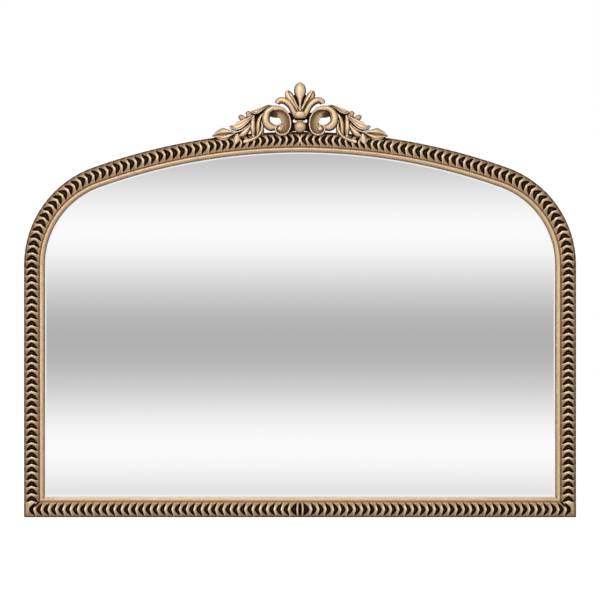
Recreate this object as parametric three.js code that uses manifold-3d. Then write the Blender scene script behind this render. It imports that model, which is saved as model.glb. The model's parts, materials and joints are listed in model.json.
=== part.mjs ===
// Overmantel mirror: an arched gilt frame with a band of overlapping husks, a sight bead,
// a carved crest of palmette, scrolls and leaves, a silvered glass plate, and the fittings
// behind it. Millimetres, +Z up, the glass faces -Y. The origin is the middle of the flat
// underside that stands on the shelf.

import * as THREE from 'three';
import { mergeVertices } from 'three/addons/utils/BufferGeometryUtils.js';
import Module from 'manifold-3d';

const wasm = await Module();
wasm.setup();

// ---------------------------------------------------------------- driving dimensions

// The outline: straight stiles under a three-centred arch.
const overall_width = 1200;
const springing_height = 548;
const arch_rise = 290;
const haunch_radius = 225;

// Clearance between pieces that lie against or inside each other.
const fit_gap = 0.3;

// The timber, measured inward from its outer edge.
const husk_width = 33;
const quirk_width = 1.1;
const bead_width = 6.8;
const lip_slope = 4.5;
const lip_thickness = 9.4;
const sight_edge = 2.4;
const rebate_width = 10;
const core_margin = 2;
const core_rise = 6.5;

// The pressed husk band over the timber's rounded core.
const husk_edge = 2.5;
const husk_crown = 13;
const husk_pitch = 16;
const husk_ridge = 5;
const husk_relief = 3.8;
const husk_wing_relief = 1.8;
const husk_lag = 13;
const husk_reach = 13;

// Glass, board and what they stand on.
const glass_thickness = 4;
const board_thickness = 6;
const glass_clearance = 2;
const glass_rest_length = 60;
const glass_rest_offset = 250;

// Dowels in the timber's joints.
const dowel_radius = 4;
const dowel_length = 50;
const mitre_dowel_length = 24;

// Screws: pan heads on tapered shanks.
const screw_shank = 1.8;
const screw_head = 3.6;
const screw_head_height = 2.3;
const screw_length = 12;
const hole_overrun = 0.5;

// Ring hangers on the stiles, with their screws clear of the springing dowel's lower end.
const hanger_dowel_gap = 47;
const hanger_width = 14;
const hanger_length = 46;
const hanger_sheet = 1.5;
const hanger_bore_clearance = 0.4;
const hanger_first_screw = 24;
const hanger_screw_spacing = 14;
const ring_wire = 1.5;
const ring_half_width = 13;
const ring_leg = 4;
const ring_corner = 3;

// Turn buttons that hold the board in its rebate.
const button_length = 30;
const button_width = 10;
const button_sheet = 1.2;
const button_pivot_inset = 22;
const button_bottom_offset = 300;
const button_springing_drop = 258;
const button_arch_offset = 260;

// Steel brace between the crown rail and the crest.
const brace_width = 14;
const brace_sheet = 2;
const brace_tab = 32;
const brace_rise = 42;
const brace_end_margin = 7;
const brace_screw_spacing = 14;

// Rubber bumpers that keep the frame off the wall.
const bumper_radius = 10;
const bumper_height = 8;
const bumper_stile_height = 90;

// The crest: its height over the arch, how far its flat back lies behind the timber's front
// seat, and its reach forward.
const crest_height = 107;
const crest_back_recess = 4;
const palmette_depth = 24;
const scroll_depth = 28;
const leaf_depth = 25;
const ball_radius = 13.4;
const ball_height = 10.5;
const ball_forward = 14;
const eye_radius = 8;

// How finely round shapes are faceted.
const haunch_steps = 16;
const crown_steps = 24;
const round_sides = 8;
const curve_segments = 6;
const wire_sides = 6;

// ---------------------------------------------------------------- derived places

const half_width = overall_width / 2;
const top_height = springing_height + arch_rise;
const haunch_centre = half_width - haunch_radius;
const crown_radius = (haunch_centre ** 2 + arch_rise ** 2 - haunch_radius ** 2)
  / (2 * (arch_rise - haunch_radius));
const crown_centre_height = top_height - crown_radius;
const crown_half_angle = Math.atan2(haunch_centre, crown_radius - arch_rise);
const haunch_sweep = Math.PI / 2 - crown_half_angle;

const bead_inset = husk_width + quirk_width;
const lip_inset = bead_inset + bead_width;
const moulding_width = lip_inset + lip_slope;
const rebate_inset = moulding_width - rebate_width;
const rest_inset = rebate_inset / 2;

const timber_depth = lip_thickness + fit_gap + glass_thickness + fit_gap + board_thickness;
const seat_y = -timber_depth / 2;
const back_y = timber_depth / 2;
const glass_front_y = seat_y + lip_thickness + fit_gap;
const board_front_y = glass_front_y + glass_thickness + fit_gap;
const crest_back_y = seat_y + crest_back_recess;

const hanger_bore = ring_wire + hanger_bore_clearance;
const hanger_barrel = hanger_bore + hanger_sheet;
const hanger_axis_y = back_y + hanger_barrel;
const hanger_top_screw_height = springing_height - dowel_length / 2 - hanger_dowel_gap;
const hanger_height = hanger_top_screw_height + hanger_first_screw;

// ---------------------------------------------------------------- materials

const finish = (name, color, roughness, metalness) => new THREE.MeshStandardMaterial({
  name, color, roughness, metalness,
});

const timber = finish('gilded timber', 0x9a7b5e, 0.6, 0.1);
const gilding = finish('aged gilding', 0xd8b48e, 0.45, 0.35);
const silvered_glass = finish('silvered glass', 0xd9d9d9, 0.03, 1);
const hardboard = finish('back board', 0x8a6a48, 0.85, 0);
const beech = finish('beech', 0xc9a877, 0.7, 0);

const zinc_steel = finish('zinc plated steel', 0xb4b6b8, 0.35, 0.9);
const rubber = finish('black rubber', 0x1c1c1c, 0.85, 0);

// ---------------------------------------------------------------- solids from points

const up = new THREE.Vector3(0, 0, 1);
const across = new THREE.Vector3(1, 0, 0);
const back = new THREE.Vector3(0, 1, 0);

function signed_volume(points, triangles) {
  const cross = new THREE.Vector3();
  let volume = 0;
  for (const [a, b, c] of triangles) {
    volume += points[a].dot(cross.crossVectors(points[b], points[c])) / 6;
  }
  return volume;
}

// A closed geometry from points and triangles, turned so that its faces point outward.
function solid(points, triangles) {
  const outward = signed_volume(points, triangles) > 0;
  const geometry = new THREE.BufferGeometry().setFromPoints(points);
  geometry.setIndex(triangles.flatMap(([a, b, c]) => (outward ? [a, b, c] : [a, c, b])));
  return geometry;
}

// Joins neighbouring columns of points into a closed skin and caps both ends. A column is a
// list of { s, inset, y, point } entries; all columns run the same way round the section, and
// they may differ in how many entries they have.
function stitched(columns) {
  const starts = [];
  const points = [];
  for (const column of columns) {
    starts.push(points.length);
    points.push(...column.map((entry) => entry.point));
  }
  const ends = columns.map((column, index) => starts[index] + column.length - 1);
  const triangles = [];
  columns.forEach((left, index) => {
    const next = (index + 1) % columns.length;
    const right = columns[next];
    let i = 0;
    let j = 0;
    while (i < left.length - 1 || j < right.length - 1) {
      const step_left = j === right.length - 1
        || (i < left.length - 1 && left[i + 1].s < right[j + 1].s);
      const a = starts[index] + i;
      const b = starts[next] + j;
      triangles.push([a, b, step_left ? a + 1 : b + 1]);
      i += step_left ? 1 : 0;
      j += step_left ? 0 : 1;
    }
  });
  const outline = columns.map(([entry]) => new THREE.Vector2(entry.inset, entry.y));
  const turn = Math.sign(THREE.ShapeUtils.area(outline));
  for (const corners of THREE.ShapeUtils.triangulateShape(outline, [])) {
    const same_turn = Math.sign(THREE.ShapeUtils.area(corners.map((k) => outline[k]))) === turn;
    const [a, b, c] = same_turn ? corners : corners.toReversed();
    triangles.push([starts[c], starts[b], starts[a]]);
    triangles.push([ends[a], ends[b], ends[c]]);
  }
  return solid(points, triangles);
}

// ---------------------------------------------------------------- joining and cutting

function to_manifold(geometry) {
  const bare = geometry.clone();
  bare.deleteAttribute('normal');
  bare.deleteAttribute('uv');
  const merged = mergeVertices(bare, 1e-4);
  return new wasm.Manifold(new wasm.Mesh({
    numProp: 3,
    vertProperties: new Float32Array(merged.attributes.position.array),
    triVerts: new Uint32Array(merged.index.array),
  }));
}

function to_geometry(manifold) {
  const mesh = manifold.getMesh();
  const geometry = new THREE.BufferGeometry();
  geometry.setAttribute('position', new THREE.BufferAttribute(mesh.vertProperties, 3));
  geometry.setIndex(new THREE.BufferAttribute(mesh.triVerts, 1));
  return geometry;
}

function joined(geometries) {
  return geometries.map(to_manifold).reduce((whole, piece) => whole.add(piece));
}

function cut(geometry, cutters) {
  const rest = cutters.map(to_manifold)
    .reduce((whole, cutter) => whole.subtract(cutter), to_manifold(geometry));
  return to_geometry(rest);
}

// The same piece on the other side of the middle.
function mirrored(geometry) {
  const twin = geometry.clone();
  twin.scale(-1, 1, 1);
  const index = twin.index.array;
  for (let i = 0; i < index.length; i += 3) {
    [index[i], index[i + 1]] = [index[i + 1], index[i]];
  }
  return twin;
}

// ---------------------------------------------------------------- the outline

// A station is a point of the outer outline with the way inward from it. At a mitre the way
// inward is the mitre line, so that an inset of 1 moves 1 square to both edges.
const station = (x, z, inward_x, inward_z) => ({ x, z, inward_x, inward_z });

const on_haunch = (angle) => station(
  -haunch_centre - haunch_radius * Math.cos(angle),
  springing_height + haunch_radius * Math.sin(angle),
  Math.cos(angle),
  -Math.sin(angle),
);

const on_crown = (angle) => station(
  crown_radius * Math.sin(angle),
  crown_centre_height + crown_radius * Math.cos(angle),
  -Math.sin(angle),
  -Math.cos(angle),
);

const flipped = (s) => station(-s.x, s.z, -s.inward_x, s.inward_z);

const inset_point = (s, inset, y) => new THREE.Vector3(
  s.x + inset * s.inward_x,
  y,
  s.z + inset * s.inward_z,
);

const spread = (count, from, to) => Array.from(
  { length: count + 1 },
  (_, i) => from + (to - from) * i / count,
);

// Half of a joint's clearance, as a length along the pieces or an angle on an arc.
const half_gap = fit_gap / 2;
const mitre_trim = fit_gap / Math.SQRT2;
const haunch_trim = half_gap / (haunch_radius - moulding_width);
const crown_trim = half_gap / (crown_radius - moulding_width);

const left_corner = station(-half_width, 0, 1, 1);
const haunch_angles = spread(haunch_steps, 0, haunch_sweep);
const crown_angles = spread(crown_steps, -crown_half_angle, crown_half_angle);

// The angles of an arc with both ends drawn in.
const drawn_in = (angles, first, last) => angles.map((angle, i) => {
  if (i === 0) return angle + first;
  return i === angles.length - 1 ? angle - last : angle;
});

const haunch_run = drawn_in(haunch_angles, haunch_trim, haunch_trim).map(on_haunch);
const crown_run = drawn_in(crown_angles, crown_trim, crown_trim).map(on_crown);
const arch_run = [
  ...haunch_angles.map(on_haunch),
  ...crown_angles.slice(1, -1).map(on_crown),
  ...haunch_angles.map(on_haunch).reverse().map(flipped),
];

const bottom_run = [
  station(left_corner.x + mitre_trim, 0, 1, 1),
  flipped(station(left_corner.x + mitre_trim, 0, 1, 1)),
];
const stile_run = [
  station(left_corner.x, mitre_trim, 1, 1),
  station(left_corner.x, springing_height - half_gap, 1, 0),
];

const entry_at = (place, s, inset, y) => ({ s, inset, y, point: inset_point(place, inset, y) });

// A closed section of [inset, y] points swept along the stations.
function swept(run, section) {
  return stitched(section.map(([inset, y]) => run.map((place, i) => entry_at(place, i, inset, y))));
}

// ---------------------------------------------------------------- sections

// A low arc over a span: [inset, y] points from one foot to the other, standing on `foot`.
function low_arc(middle, half_span, rise, foot, steps, offset = 0) {
  const radius = (half_span ** 2 + rise ** 2) / (2 * rise);
  const half_angle = Math.asin(half_span / radius);
  const reach = radius + offset / Math.cos(half_angle / steps);
  return spread(steps, -half_angle, half_angle).map((angle) => [
    middle + reach * Math.sin(angle),
    foot - rise + radius - reach * Math.cos(angle),
  ]);
}

const husk_middle = husk_width / 2;
const core_half_span = husk_middle - core_margin;
const core_arc = (offset) => low_arc(husk_middle, core_half_span, core_rise, seat_y, 6, offset);

const timber_section = [
  [0, back_y],
  [0, seat_y],
  ...core_arc(0),
  [lip_inset, seat_y],
  [moulding_width, seat_y + lip_thickness - sight_edge],
  [moulding_width, seat_y + lip_thickness],
  [rebate_inset, seat_y + lip_thickness],
  [rebate_inset, back_y],
];

const bead_radius = bead_width / 2;
const bead_middle = bead_inset + bead_radius;
const bead_section = [
  [bead_inset, seat_y - fit_gap],
  ...spread(4, Math.PI, 0).map((angle) => [
    bead_middle + bead_radius * Math.cos(angle),
    seat_y - fit_gap - bead_radius * (1 + Math.sin(angle)),
  ]),
  [lip_inset, seat_y - fit_gap],
];

// ---------------------------------------------------------------- dowels and screws

const prism = (radius, length, sides = round_sides) => (
  new THREE.CylinderGeometry(radius, radius, length, sides)
);

// A round pin along a direction, centred on a point.
function pin_along(radius, length, centre, direction) {
  const turn = new THREE.Quaternion().setFromUnitVectors(back, direction.clone().normalize());
  return prism(radius, length).applyQuaternion(turn).translate(...centre.toArray());
}

const crown_joint = on_crown(-crown_half_angle);
const joints = {
  mitre: {
    centre: inset_point(left_corner, rest_inset, 0),
    direction: new THREE.Vector3(1, 0, -1),
    length: mitre_dowel_length,
  },
  springing: {
    centre: inset_point(on_haunch(0), rest_inset, 0),
    direction: up,
    length: dowel_length,
  },
  crown: {
    centre: inset_point(crown_joint, rest_inset, 0),
    direction: new THREE.Vector3(-crown_joint.inward_z, 0, crown_joint.inward_x),
    length: dowel_length,
  },
};

const bore_clearance = fit_gap / Math.cos(Math.PI / round_sides);
const dowel = ({ centre, direction, length }) => pin_along(dowel_radius, length, centre, direction);
const dowel_bore = ({ centre, direction, length }) => pin_along(
  dowel_radius + bore_clearance,
  length + 2 * fit_gap,
  centre,
  direction,
);

// A screw driven forward from behind: its head's underside lies at y = 0.
function screw() {
  const profile = [
    [0, -screw_length],
    [screw_shank, -screw_length + 2 * screw_shank],
    [screw_shank, 0],
    [screw_head, 0],
    [screw_head, screw_head_height / 2],
    [screw_head / 2, screw_head_height],
    [0, screw_head_height],
  ].map(([radius, y]) => new THREE.Vector2(radius, y));
  return new THREE.LatheGeometry(profile, round_sides);
}

// The hole for a screw whose head's underside lies at the point, through sheet and timber.
function screw_hole({ x, y, z }) {
  const length = screw_length + fit_gap + hole_overrun;
  const middle = y + hole_overrun - length / 2;
  return prism(screw_shank + bore_clearance, length).translate(x, middle, z);
}

// ---------------------------------------------------------------- places of the fittings

const stile_middle = -half_width + rest_inset;
const on_side = (point, side) => new THREE.Vector3(side * Math.abs(point.x), point.y, point.z);

const hanger_head_y = back_y + hanger_sheet + fit_gap;
const hanger_screws = [0, 1].map((i) => new THREE.Vector3(
  stile_middle,
  hanger_head_y,
  hanger_top_screw_height - i * hanger_screw_spacing,
));

const button_front_y = back_y + fit_gap;
const button_head_y = button_front_y + button_sheet + fit_gap;
const arch_button = on_crown(Math.asin(-button_arch_offset / crown_radius));
const button_stations = {
  bottom: station(-button_bottom_offset, 0, 0, 1),
  stile: station(-half_width, springing_height - button_springing_drop, 1, 0),
  arch: arch_button,
};

const brace_head_y = back_y + brace_sheet + fit_gap;
const brace_front_y = crest_back_y + fit_gap;
const lowest_brace_screw = top_height - brace_tab + brace_end_margin;
const brace_screws = {
  lower: new THREE.Vector3(0, brace_head_y, lowest_brace_screw),
  middle: new THREE.Vector3(0, brace_head_y, lowest_brace_screw + brace_screw_spacing),
  upper: new THREE.Vector3(
    0,
    brace_front_y + brace_sheet + fit_gap,
    top_height + brace_rise - brace_end_margin,
  ),
};

const button_pivot = (name) => inset_point(button_stations[name], button_pivot_inset, button_head_y);

// ---------------------------------------------------------------- the timber

const bottom_rail = cut(swept(bottom_run, timber_section), [
  dowel_bore(joints.mitre),
  mirrored(dowel_bore(joints.mitre)),
  screw_hole(button_pivot('bottom')),
  screw_hole(on_side(button_pivot('bottom'), 1)),
]);

const left_stile = cut(swept(stile_run, timber_section), [
  dowel_bore(joints.mitre),
  dowel_bore(joints.springing),
  screw_hole(button_pivot('stile')),
  ...hanger_screws.map(screw_hole),
]);

const left_haunch = cut(swept(haunch_run, timber_section), [
  dowel_bore(joints.springing),
  dowel_bore(joints.crown),
]);

const crown_rail = cut(swept(crown_run, timber_section), [
  dowel_bore(joints.crown),
  mirrored(dowel_bore(joints.crown)),
  screw_hole(button_pivot('arch')),
  screw_hole(on_side(button_pivot('arch'), 1)),
  screw_hole(brace_screws.lower),
  screw_hole(brace_screws.middle),
]);

// ---------------------------------------------------------------- the husk band

const ridge_arc = (() => {
  const rise = husk_crown - husk_edge;
  const radius = (husk_middle ** 2 + rise ** 2) / (2 * rise);
  return (inset) => seat_y - husk_crown + radius
    - Math.sqrt(radius ** 2 - (inset - husk_middle) ** 2);
})();

// Where a husk's ridge starts, where it ends and where its hollow is deepest, in pitches.
const husk_phases = [
  { phase: 0, hollow: 0 },
  { phase: husk_ridge / husk_pitch, hollow: 0 },
  { phase: (1 + husk_ridge / husk_pitch) / 2, hollow: 1 },
];

// Steps shorter than this would leave slivers at a strip's ends.
const shortest_step = 0.5;

// How hollow the band is at a distance past a husk's ridge, from 0 to 1.
function hollow_at(distance, pitch) {
  const phase = ((distance / pitch) % 1 + 1) % 1;
  const knots = [...husk_phases, { phase: 1, hollow: 0 }];
  const next = knots.findIndex((knot) => knot.phase >= phase);
  if (next === 0) return 0;
  const from = knots[next - 1];
  const to = knots[next];
  const share = (phase - from.phase) / (to.phase - from.phase);
  return from.hollow + (to.hollow - from.hollow) * share;
}

// A carved column of the band: its husks point forward along the run, so a column beside the
// middle lags behind it. `range` gives the run's start and end at an inset.
function carved_column({ run_at, range }, pitch, inset) {
  const aside = Math.abs(inset - husk_middle) / husk_reach;
  const lag = husk_lag * aside;
  const depth = husk_relief + (husk_wing_relief - husk_relief) * aside;
  const [start, end] = range(inset);
  const stops = [start];
  for (let husk = Math.floor((start + lag) / pitch); husk * pitch - lag < end; husk += 1) {
    for (const { phase } of husk_phases) {
      const s = (husk + phase) * pitch - lag;
      if (s > start + shortest_step && s < end - shortest_step) stops.push(s);
    }
  }
  stops.push(end);
  return stops.map((s) => {
    const y = ridge_arc(inset) + depth * hollow_at(s + lag, pitch);
    return entry_at(run_at(s), s, inset, y);
  });
}

function plain_column({ run_at, range, stops }, inset, y) {
  const [start, end] = range(inset);
  const inner = stops.filter((s) => s > start + shortest_step && s < end - shortest_step);
  return [start, ...inner, end].map((s) => entry_at(run_at(s), s, inset, y));
}

// One strip of the band, with plain edges, three carved columns and a hollow back that
// follows the timber's core.
function husk_strip(strip) {
  const pitch = strip.length / Math.round(strip.length / husk_pitch);
  const foot = seat_y - fit_gap;
  const shoulder = seat_y - husk_edge;
  const plain = (inset, y) => plain_column(strip, inset, y);
  const carved = (inset) => carved_column(strip, pitch, inset);
  const under = core_arc(fit_gap).map(([inset, y]) => plain(inset, Math.min(y, foot)));
  return stitched([
    plain(0, foot),
    plain(0, shoulder),
    carved(husk_middle - husk_reach),
    carved(husk_middle),
    carved(husk_middle + husk_reach),
    plain(husk_width, shoulder),
    plain(husk_width, foot),
    ...under.reverse(),
  ]);
}

// The bottom strips run from the middle to the corner, the stile strips from the corner up.
const bottom_strip = {
  run_at: (s) => station(-s, 0, 0, 1),
  range: (inset) => [half_gap, half_width - inset - mitre_trim],
  stops: spread(6, 0, half_width),
  length: half_width - husk_middle,
};
const stile_strip = {
  run_at: (s) => station(-half_width, s, 1, 0),
  range: (inset) => [inset + mitre_trim, springing_height - half_gap],
  stops: spread(6, 0, springing_height),
  length: springing_height,
};

// The arch strip runs from the springing up to the middle; distances are along its own middle.
const haunch_line = haunch_radius - husk_middle;
const crown_line = crown_radius - husk_middle;
const haunch_length = haunch_sweep * haunch_line;
const arch_length = haunch_length + crown_half_angle * crown_line;
const arch_strip = {
  run_at: (s) => (s < haunch_length
    ? on_haunch(s / haunch_line)
    : on_crown((s - haunch_length) / crown_line - crown_half_angle)),
  range: () => [half_gap, arch_length - half_gap],
  stops: [
    ...haunch_angles.map((angle) => angle * haunch_line),
    ...crown_angles.filter((angle) => angle < 0).slice(1)
      .map((angle) => haunch_length + (angle + crown_half_angle) * crown_line),
  ],
  length: arch_length,
};

// ---------------------------------------------------------------- sheet pieces

// A flat piece cut to an outline in X and Z, its back face at a given y.
function flat_piece(shape, back_face, thickness) {
  const options = { depth: thickness, bevelEnabled: false, curveSegments: curve_segments };
  const geometry = new THREE.ExtrudeGeometry(shape, options);
  return geometry.rotateX(Math.PI / 2).translate(0, back_face, 0);
}

// A piece whose outline in Y and Z runs straight along X, centred on x = 0.
function rolled_piece(shape, width) {
  const options = { depth: width, bevelEnabled: false, curveSegments: curve_segments };
  const geometry = new THREE.ExtrudeGeometry(shape, options);
  geometry.translate(0, 0, -width / 2);
  return geometry.applyMatrix4(new THREE.Matrix4().makeBasis(back, up, across));
}

// The shape that fills the rebate, drawn in by an inset from the outer edge.
function pane_shape(inset) {
  const corners = [left_corner, ...arch_run, flipped(left_corner)];
  return new THREE.Shape(corners.map((s) => {
    const point = inset_point(s, inset, 0);
    return new THREE.Vector2(point.x, point.z);
  }));
}

const pane_inset = rebate_inset + glass_clearance;
const mirror_plate = flat_piece(pane_shape(pane_inset), glass_front_y + glass_thickness, glass_thickness);
const back_board = flat_piece(pane_shape(pane_inset), board_front_y + board_thickness, board_thickness);

const glass_rest_height = glass_clearance - fit_gap;
const glass_rest = () => new THREE.BoxGeometry(glass_rest_length, glass_thickness, glass_rest_height);
const glass_rest_place = new THREE.Vector3(
  -glass_rest_offset,
  glass_front_y + glass_thickness / 2,
  rebate_inset + glass_clearance / 2,
);

// ---------------------------------------------------------------- hangers

function hanger_strap() {
  const join_angle = Math.acos(-(hanger_barrel - hanger_sheet) / hanger_barrel);
  const outline = new THREE.Shape();
  outline.moveTo(back_y, -hanger_length);
  outline.lineTo(back_y + hanger_sheet, -hanger_length);
  outline.absarc(hanger_axis_y, 0, hanger_barrel, -join_angle, Math.PI, false);
  const bore = new THREE.Path();
  bore.absarc(hanger_axis_y, 0, hanger_bore, 0, 2 * Math.PI, true);
  outline.holes.push(bore);
  const strap = rolled_piece(outline, hanger_width).translate(stile_middle, 0, hanger_height);
  return cut(strap, hanger_screws.map(screw_hole));
}

// The closed centre line of the ring, hanging from its bar: { x, z } points.
function ring_line() {
  const corner = (side, from, to) => spread(2, from, to).map((angle) => ({
    x: side * (ring_half_width - ring_corner) + ring_corner * Math.cos(angle),
    z: -ring_corner + ring_corner * Math.sin(angle),
  }));
  const bow = spread(10, 0, -Math.PI).map((angle) => ({
    x: ring_half_width * Math.cos(angle),
    z: -ring_leg + ring_half_width * Math.sin(angle),
  }));
  return [...corner(-1, Math.PI, Math.PI / 2), ...corner(1, Math.PI / 2, 0), ...bow];
}

function hanger_ring() {
  const line = ring_line();
  const points = [];
  const triangles = [];
  line.forEach((here, i) => {
    const before = line[(i + line.length - 1) % line.length];
    const after = line[(i + 1) % line.length];
    const along = new THREE.Vector2(after.x - before.x, after.z - before.z).normalize();
    for (let side = 0; side < wire_sides; side += 1) {
      const angle = (side / wire_sides) * 2 * Math.PI;
      const aside = ring_wire * Math.cos(angle);
      points.push(new THREE.Vector3(
        here.x - along.y * aside,
        ring_wire * Math.sin(angle),
        here.z + along.x * aside,
      ));
      const next_side = (side + 1) % wire_sides;
      const row = i * wire_sides;
      const next_row = ((i + 1) % line.length) * wire_sides;
      triangles.push([row + side, next_row + side, next_row + next_side]);
      triangles.push([row + side, next_row + next_side, row + next_side]);
    }
  });
  return solid(points, triangles);
}

// ---------------------------------------------------------------- turn buttons

// A turn button lies with its pivot at the origin and its long end along +Z.
function turn_button() {
  const end = button_width / 2;
  const outline = new THREE.Shape();
  outline.absarc(0, 0, end, Math.PI, 2 * Math.PI, false);
  outline.absarc(0, button_length - button_width, end, 0, Math.PI, false);
  const hole = new THREE.Path();
  hole.absarc(0, 0, screw_shank + fit_gap, 0, 2 * Math.PI, true);
  outline.holes.push(hole);
  return flat_piece(outline, button_sheet, button_sheet);
}

// ---------------------------------------------------------------- brace and bumpers

function crest_brace() {
  const shelf = top_height + fit_gap;
  const outline = new THREE.Shape([
    [back_y, top_height - brace_tab],
    [back_y + brace_sheet, top_height - brace_tab],
    [back_y + brace_sheet, shelf + brace_sheet],
    [brace_front_y + brace_sheet, shelf + brace_sheet],
    [brace_front_y + brace_sheet, top_height + brace_rise],
    [brace_front_y, top_height + brace_rise],
    [brace_front_y, shelf],
    [back_y, shelf],
  ].map(([y, z]) => new THREE.Vector2(y, z)));
  return cut(rolled_piece(outline, brace_width), Object.values(brace_screws).map(screw_hole));
}

const wall_bumper = () => prism(bumper_radius, bumper_height, 16);
const bumper_place = new THREE.Vector3(
  stile_middle,
  back_y + bumper_height / 2,
  bumper_stile_height,
);

// ---------------------------------------------------------------- the crest

// A blade's section: [sideways, forward] shares of its half-width and of its depth.
const sections = {
  leaf: [[-1, 0.5], [-0.55, 0.95], [0, 0.72], [0.55, 0.95], [1, 0.5]],
  round: [[-1, 0.5], [-0.6, 0.9], [0, 1], [0.6, 0.9], [1, 0.5]],
  channel: [[-1, 0.55], [0, 1], [0.3, 0.66], [0.75, 0.58], [1, 0.68]],
};

// The points below are drawn for a crest 107 mm high, and follow its real height.
const crest_scale = crest_height / 107;
const arch_top = (x) => crown_centre_height + Math.sqrt(crown_radius ** 2 - x ** 2);
const on_crest = (x, height) => new THREE.Vector3(
  crest_scale * x,
  crest_back_y,
  arch_top(crest_scale * x) + crest_scale * height,
);

// A blade is carved along a line of [x, height above the arch, left, right] points: the
// half-widths lie to the left and right of the way along it.
function blade({ line, section, depth, tip = 0.6 }, growth = 0) {
  const centre = new THREE.CatmullRomCurve3(
    line.map(([x, height]) => on_crest(x, height)),
    false,
    'catmullrom',
  );
  const widths = new THREE.CatmullRomCurve3(
    line.map(([, , left, right = left]) => (
      new THREE.Vector3(left, right, 0).multiplyScalar(crest_scale)
    )),
    false,
    'catmullrom',
  );
  const steps = (line.length - 1) * 2;
  const profile = [[-1, 0], ...sections[section], [1, 0]];
  const columns = profile.map(() => []);
  spread(steps, 0, 1).forEach((t, i) => {
    const here = centre.getPoint(t);
    const along = centre.getTangent(t);
    const width = widths.getPoint(t);
    const swell = tip + (1 - tip) * Math.sqrt(Math.sin(Math.PI * t));
    const end_growth = (i === 0 ? -growth : 0) + (i === steps ? growth : 0);
    profile.forEach(([sideways, forward], column) => {
      const inset = sideways * ((sideways < 0 ? width.x : width.y) + growth);
      const y = crest_back_y + (forward > 0 ? -growth - forward * depth * swell : growth);
      const x = here.x + along.z * inset + along.x * end_growth;
      const z = here.z - along.x * inset + along.z * end_growth;
      columns[column].push({ s: i, inset, y, point: new THREE.Vector3(x, y, z) });
    });
  });
  return stitched(columns);
}

// A round boss, its middle some way forward of its spot on the crest's back.
function boss(spot, radius, forward, growth) {
  const sphere = new THREE.SphereGeometry(radius + growth, 12, 8);
  return sphere.translate(spot.x, spot.y - forward, spot.z);
}

const ball_spot = new THREE.Vector3(0, crest_back_y, top_height + ball_height);
const ball = (growth) => boss(ball_spot, ball_radius, ball_forward, growth);

const scroll_blades = [
  {
    section: 'channel',
    depth: scroll_depth,
    tip: 0.75,
    line: [
      [-48, 15, 2, 1.5], [-52.5, 6, 4.5, 2], [-47.5, -3, 7, 2.5], [-40, -5.5, 8, 2.5],
      [-24, 4, 12, 2.5], [-19.5, 20, 16, 2.5], [-22, 35.5, 19, 3], [-37.5, 50, 20, 5],
      [-57, 50.5, 17, 8], [-69, 38.5, 9, 15], [-69.5, 25, 5, 15.5], [-63, 16.5, 3.5, 12],
      [-53, 12.5, 3, 7],
    ],
  },
];
const scroll_eye = (growth) => boss(on_crest(-43, 9), eye_radius, scroll_depth / 2, growth);

const acanthus_blades = [
  {
    section: 'leaf',
    depth: leaf_depth,
    line: [[-64, 55.5, 3], [-81, 52, 6], [-96.5, 47, 6], [-105.5, 50.5, 1.5]],
  },
  {
    section: 'leaf',
    depth: leaf_depth * 0.85,
    line: [[-98, 36, 5], [-108.5, 41, 6.5], [-117, 43, 3.5]],
  },
  {
    section: 'leaf',
    depth: leaf_depth * 0.85,
    line: [[-108, 32, 4.5], [-122.5, 34, 5.5], [-132, 37.5, 2.5]],
  },
  {
    section: 'leaf',
    depth: leaf_depth,
    line: [[-98, 37, 3], [-110, 29, 6], [-127, 19.5, 8], [-145.5, 17.5, 6.5], [-152.5, 25.5, 1.5]],
  },
  {
    section: 'leaf',
    depth: leaf_depth,
    line: [[-100.5, 36, 4.5], [-101.5, 27, 6], [-102, 5.5, 6], [-103, -7.5, 1]],
  },
  {
    section: 'round',
    depth: leaf_depth,
    line: [
      [-84, 42, 2], [-89.5, 22, 4], [-87, 6, 5.5], [-94.5, -7, 5], [-108, -13, 3.5],
      [-121.5, -17, 1.5],
    ],
  },
  {
    section: 'round',
    depth: leaf_depth * 0.55,
    line: [[-76, 54, 5], [-90, 40, 10], [-95, 20, 10], [-94, 2, 5]],
  },
];

const laurel_blades = [
  {
    section: 'leaf',
    depth: leaf_depth,
    line: [
      [-128.5, 3, 2, 2.5], [-149, 3.5, 8, 6], [-160, 4.5, 13, 12], [-176, 5, 8, 9],
      [-189, 3.5, 0.5, 0.5],
    ],
  },
  {
    section: 'leaf',
    depth: leaf_depth,
    line: [[-108.5, 21, 3], [-116.5, 6.5, 5.5], [-125.5, -5.5, 1.5]],
  },
  {
    section: 'round',
    depth: leaf_depth,
    line: [[-133.5, 2, 4], [-136.5, -8, 6.5], [-140, -19.5, 1]],
  },
  {
    section: 'round',
    depth: leaf_depth * 0.8,
    line: [[-106, 26, 3], [-118, 12, 4.5], [-136, 3.5, 4.5]],
  },
];

const side_petals = [
  {
    section: 'leaf',
    depth: palmette_depth * 0.9,
    line: [[-2, 37.5, 4], [-10, 59, 5], [-21.5, 79, 8], [-28.5, 89, 2.5]],
  },
  {
    section: 'round',
    depth: palmette_depth,
    line: [[-4, 32, 6], [-15, 54, 6.5], [-31, 69.5, 6.5], [-46, 68.5, 5.5], [-52, 61, 2]],
  },
];
const other_side = (item) => ({
  ...item,
  line: item.line.map(([x, height, width]) => [-x, height, width]),
});
const palmette_blades = [
  {
    section: 'leaf',
    depth: palmette_depth,
    line: [[0, 34, 4], [0, 56, 3.5], [0, 76.5, 9.5], [0, 88, 12.5], [0, 98, 10], [0, 107, 1.5]],
  },
  ...side_petals,
  ...side_petals.map(other_side),
];

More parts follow.
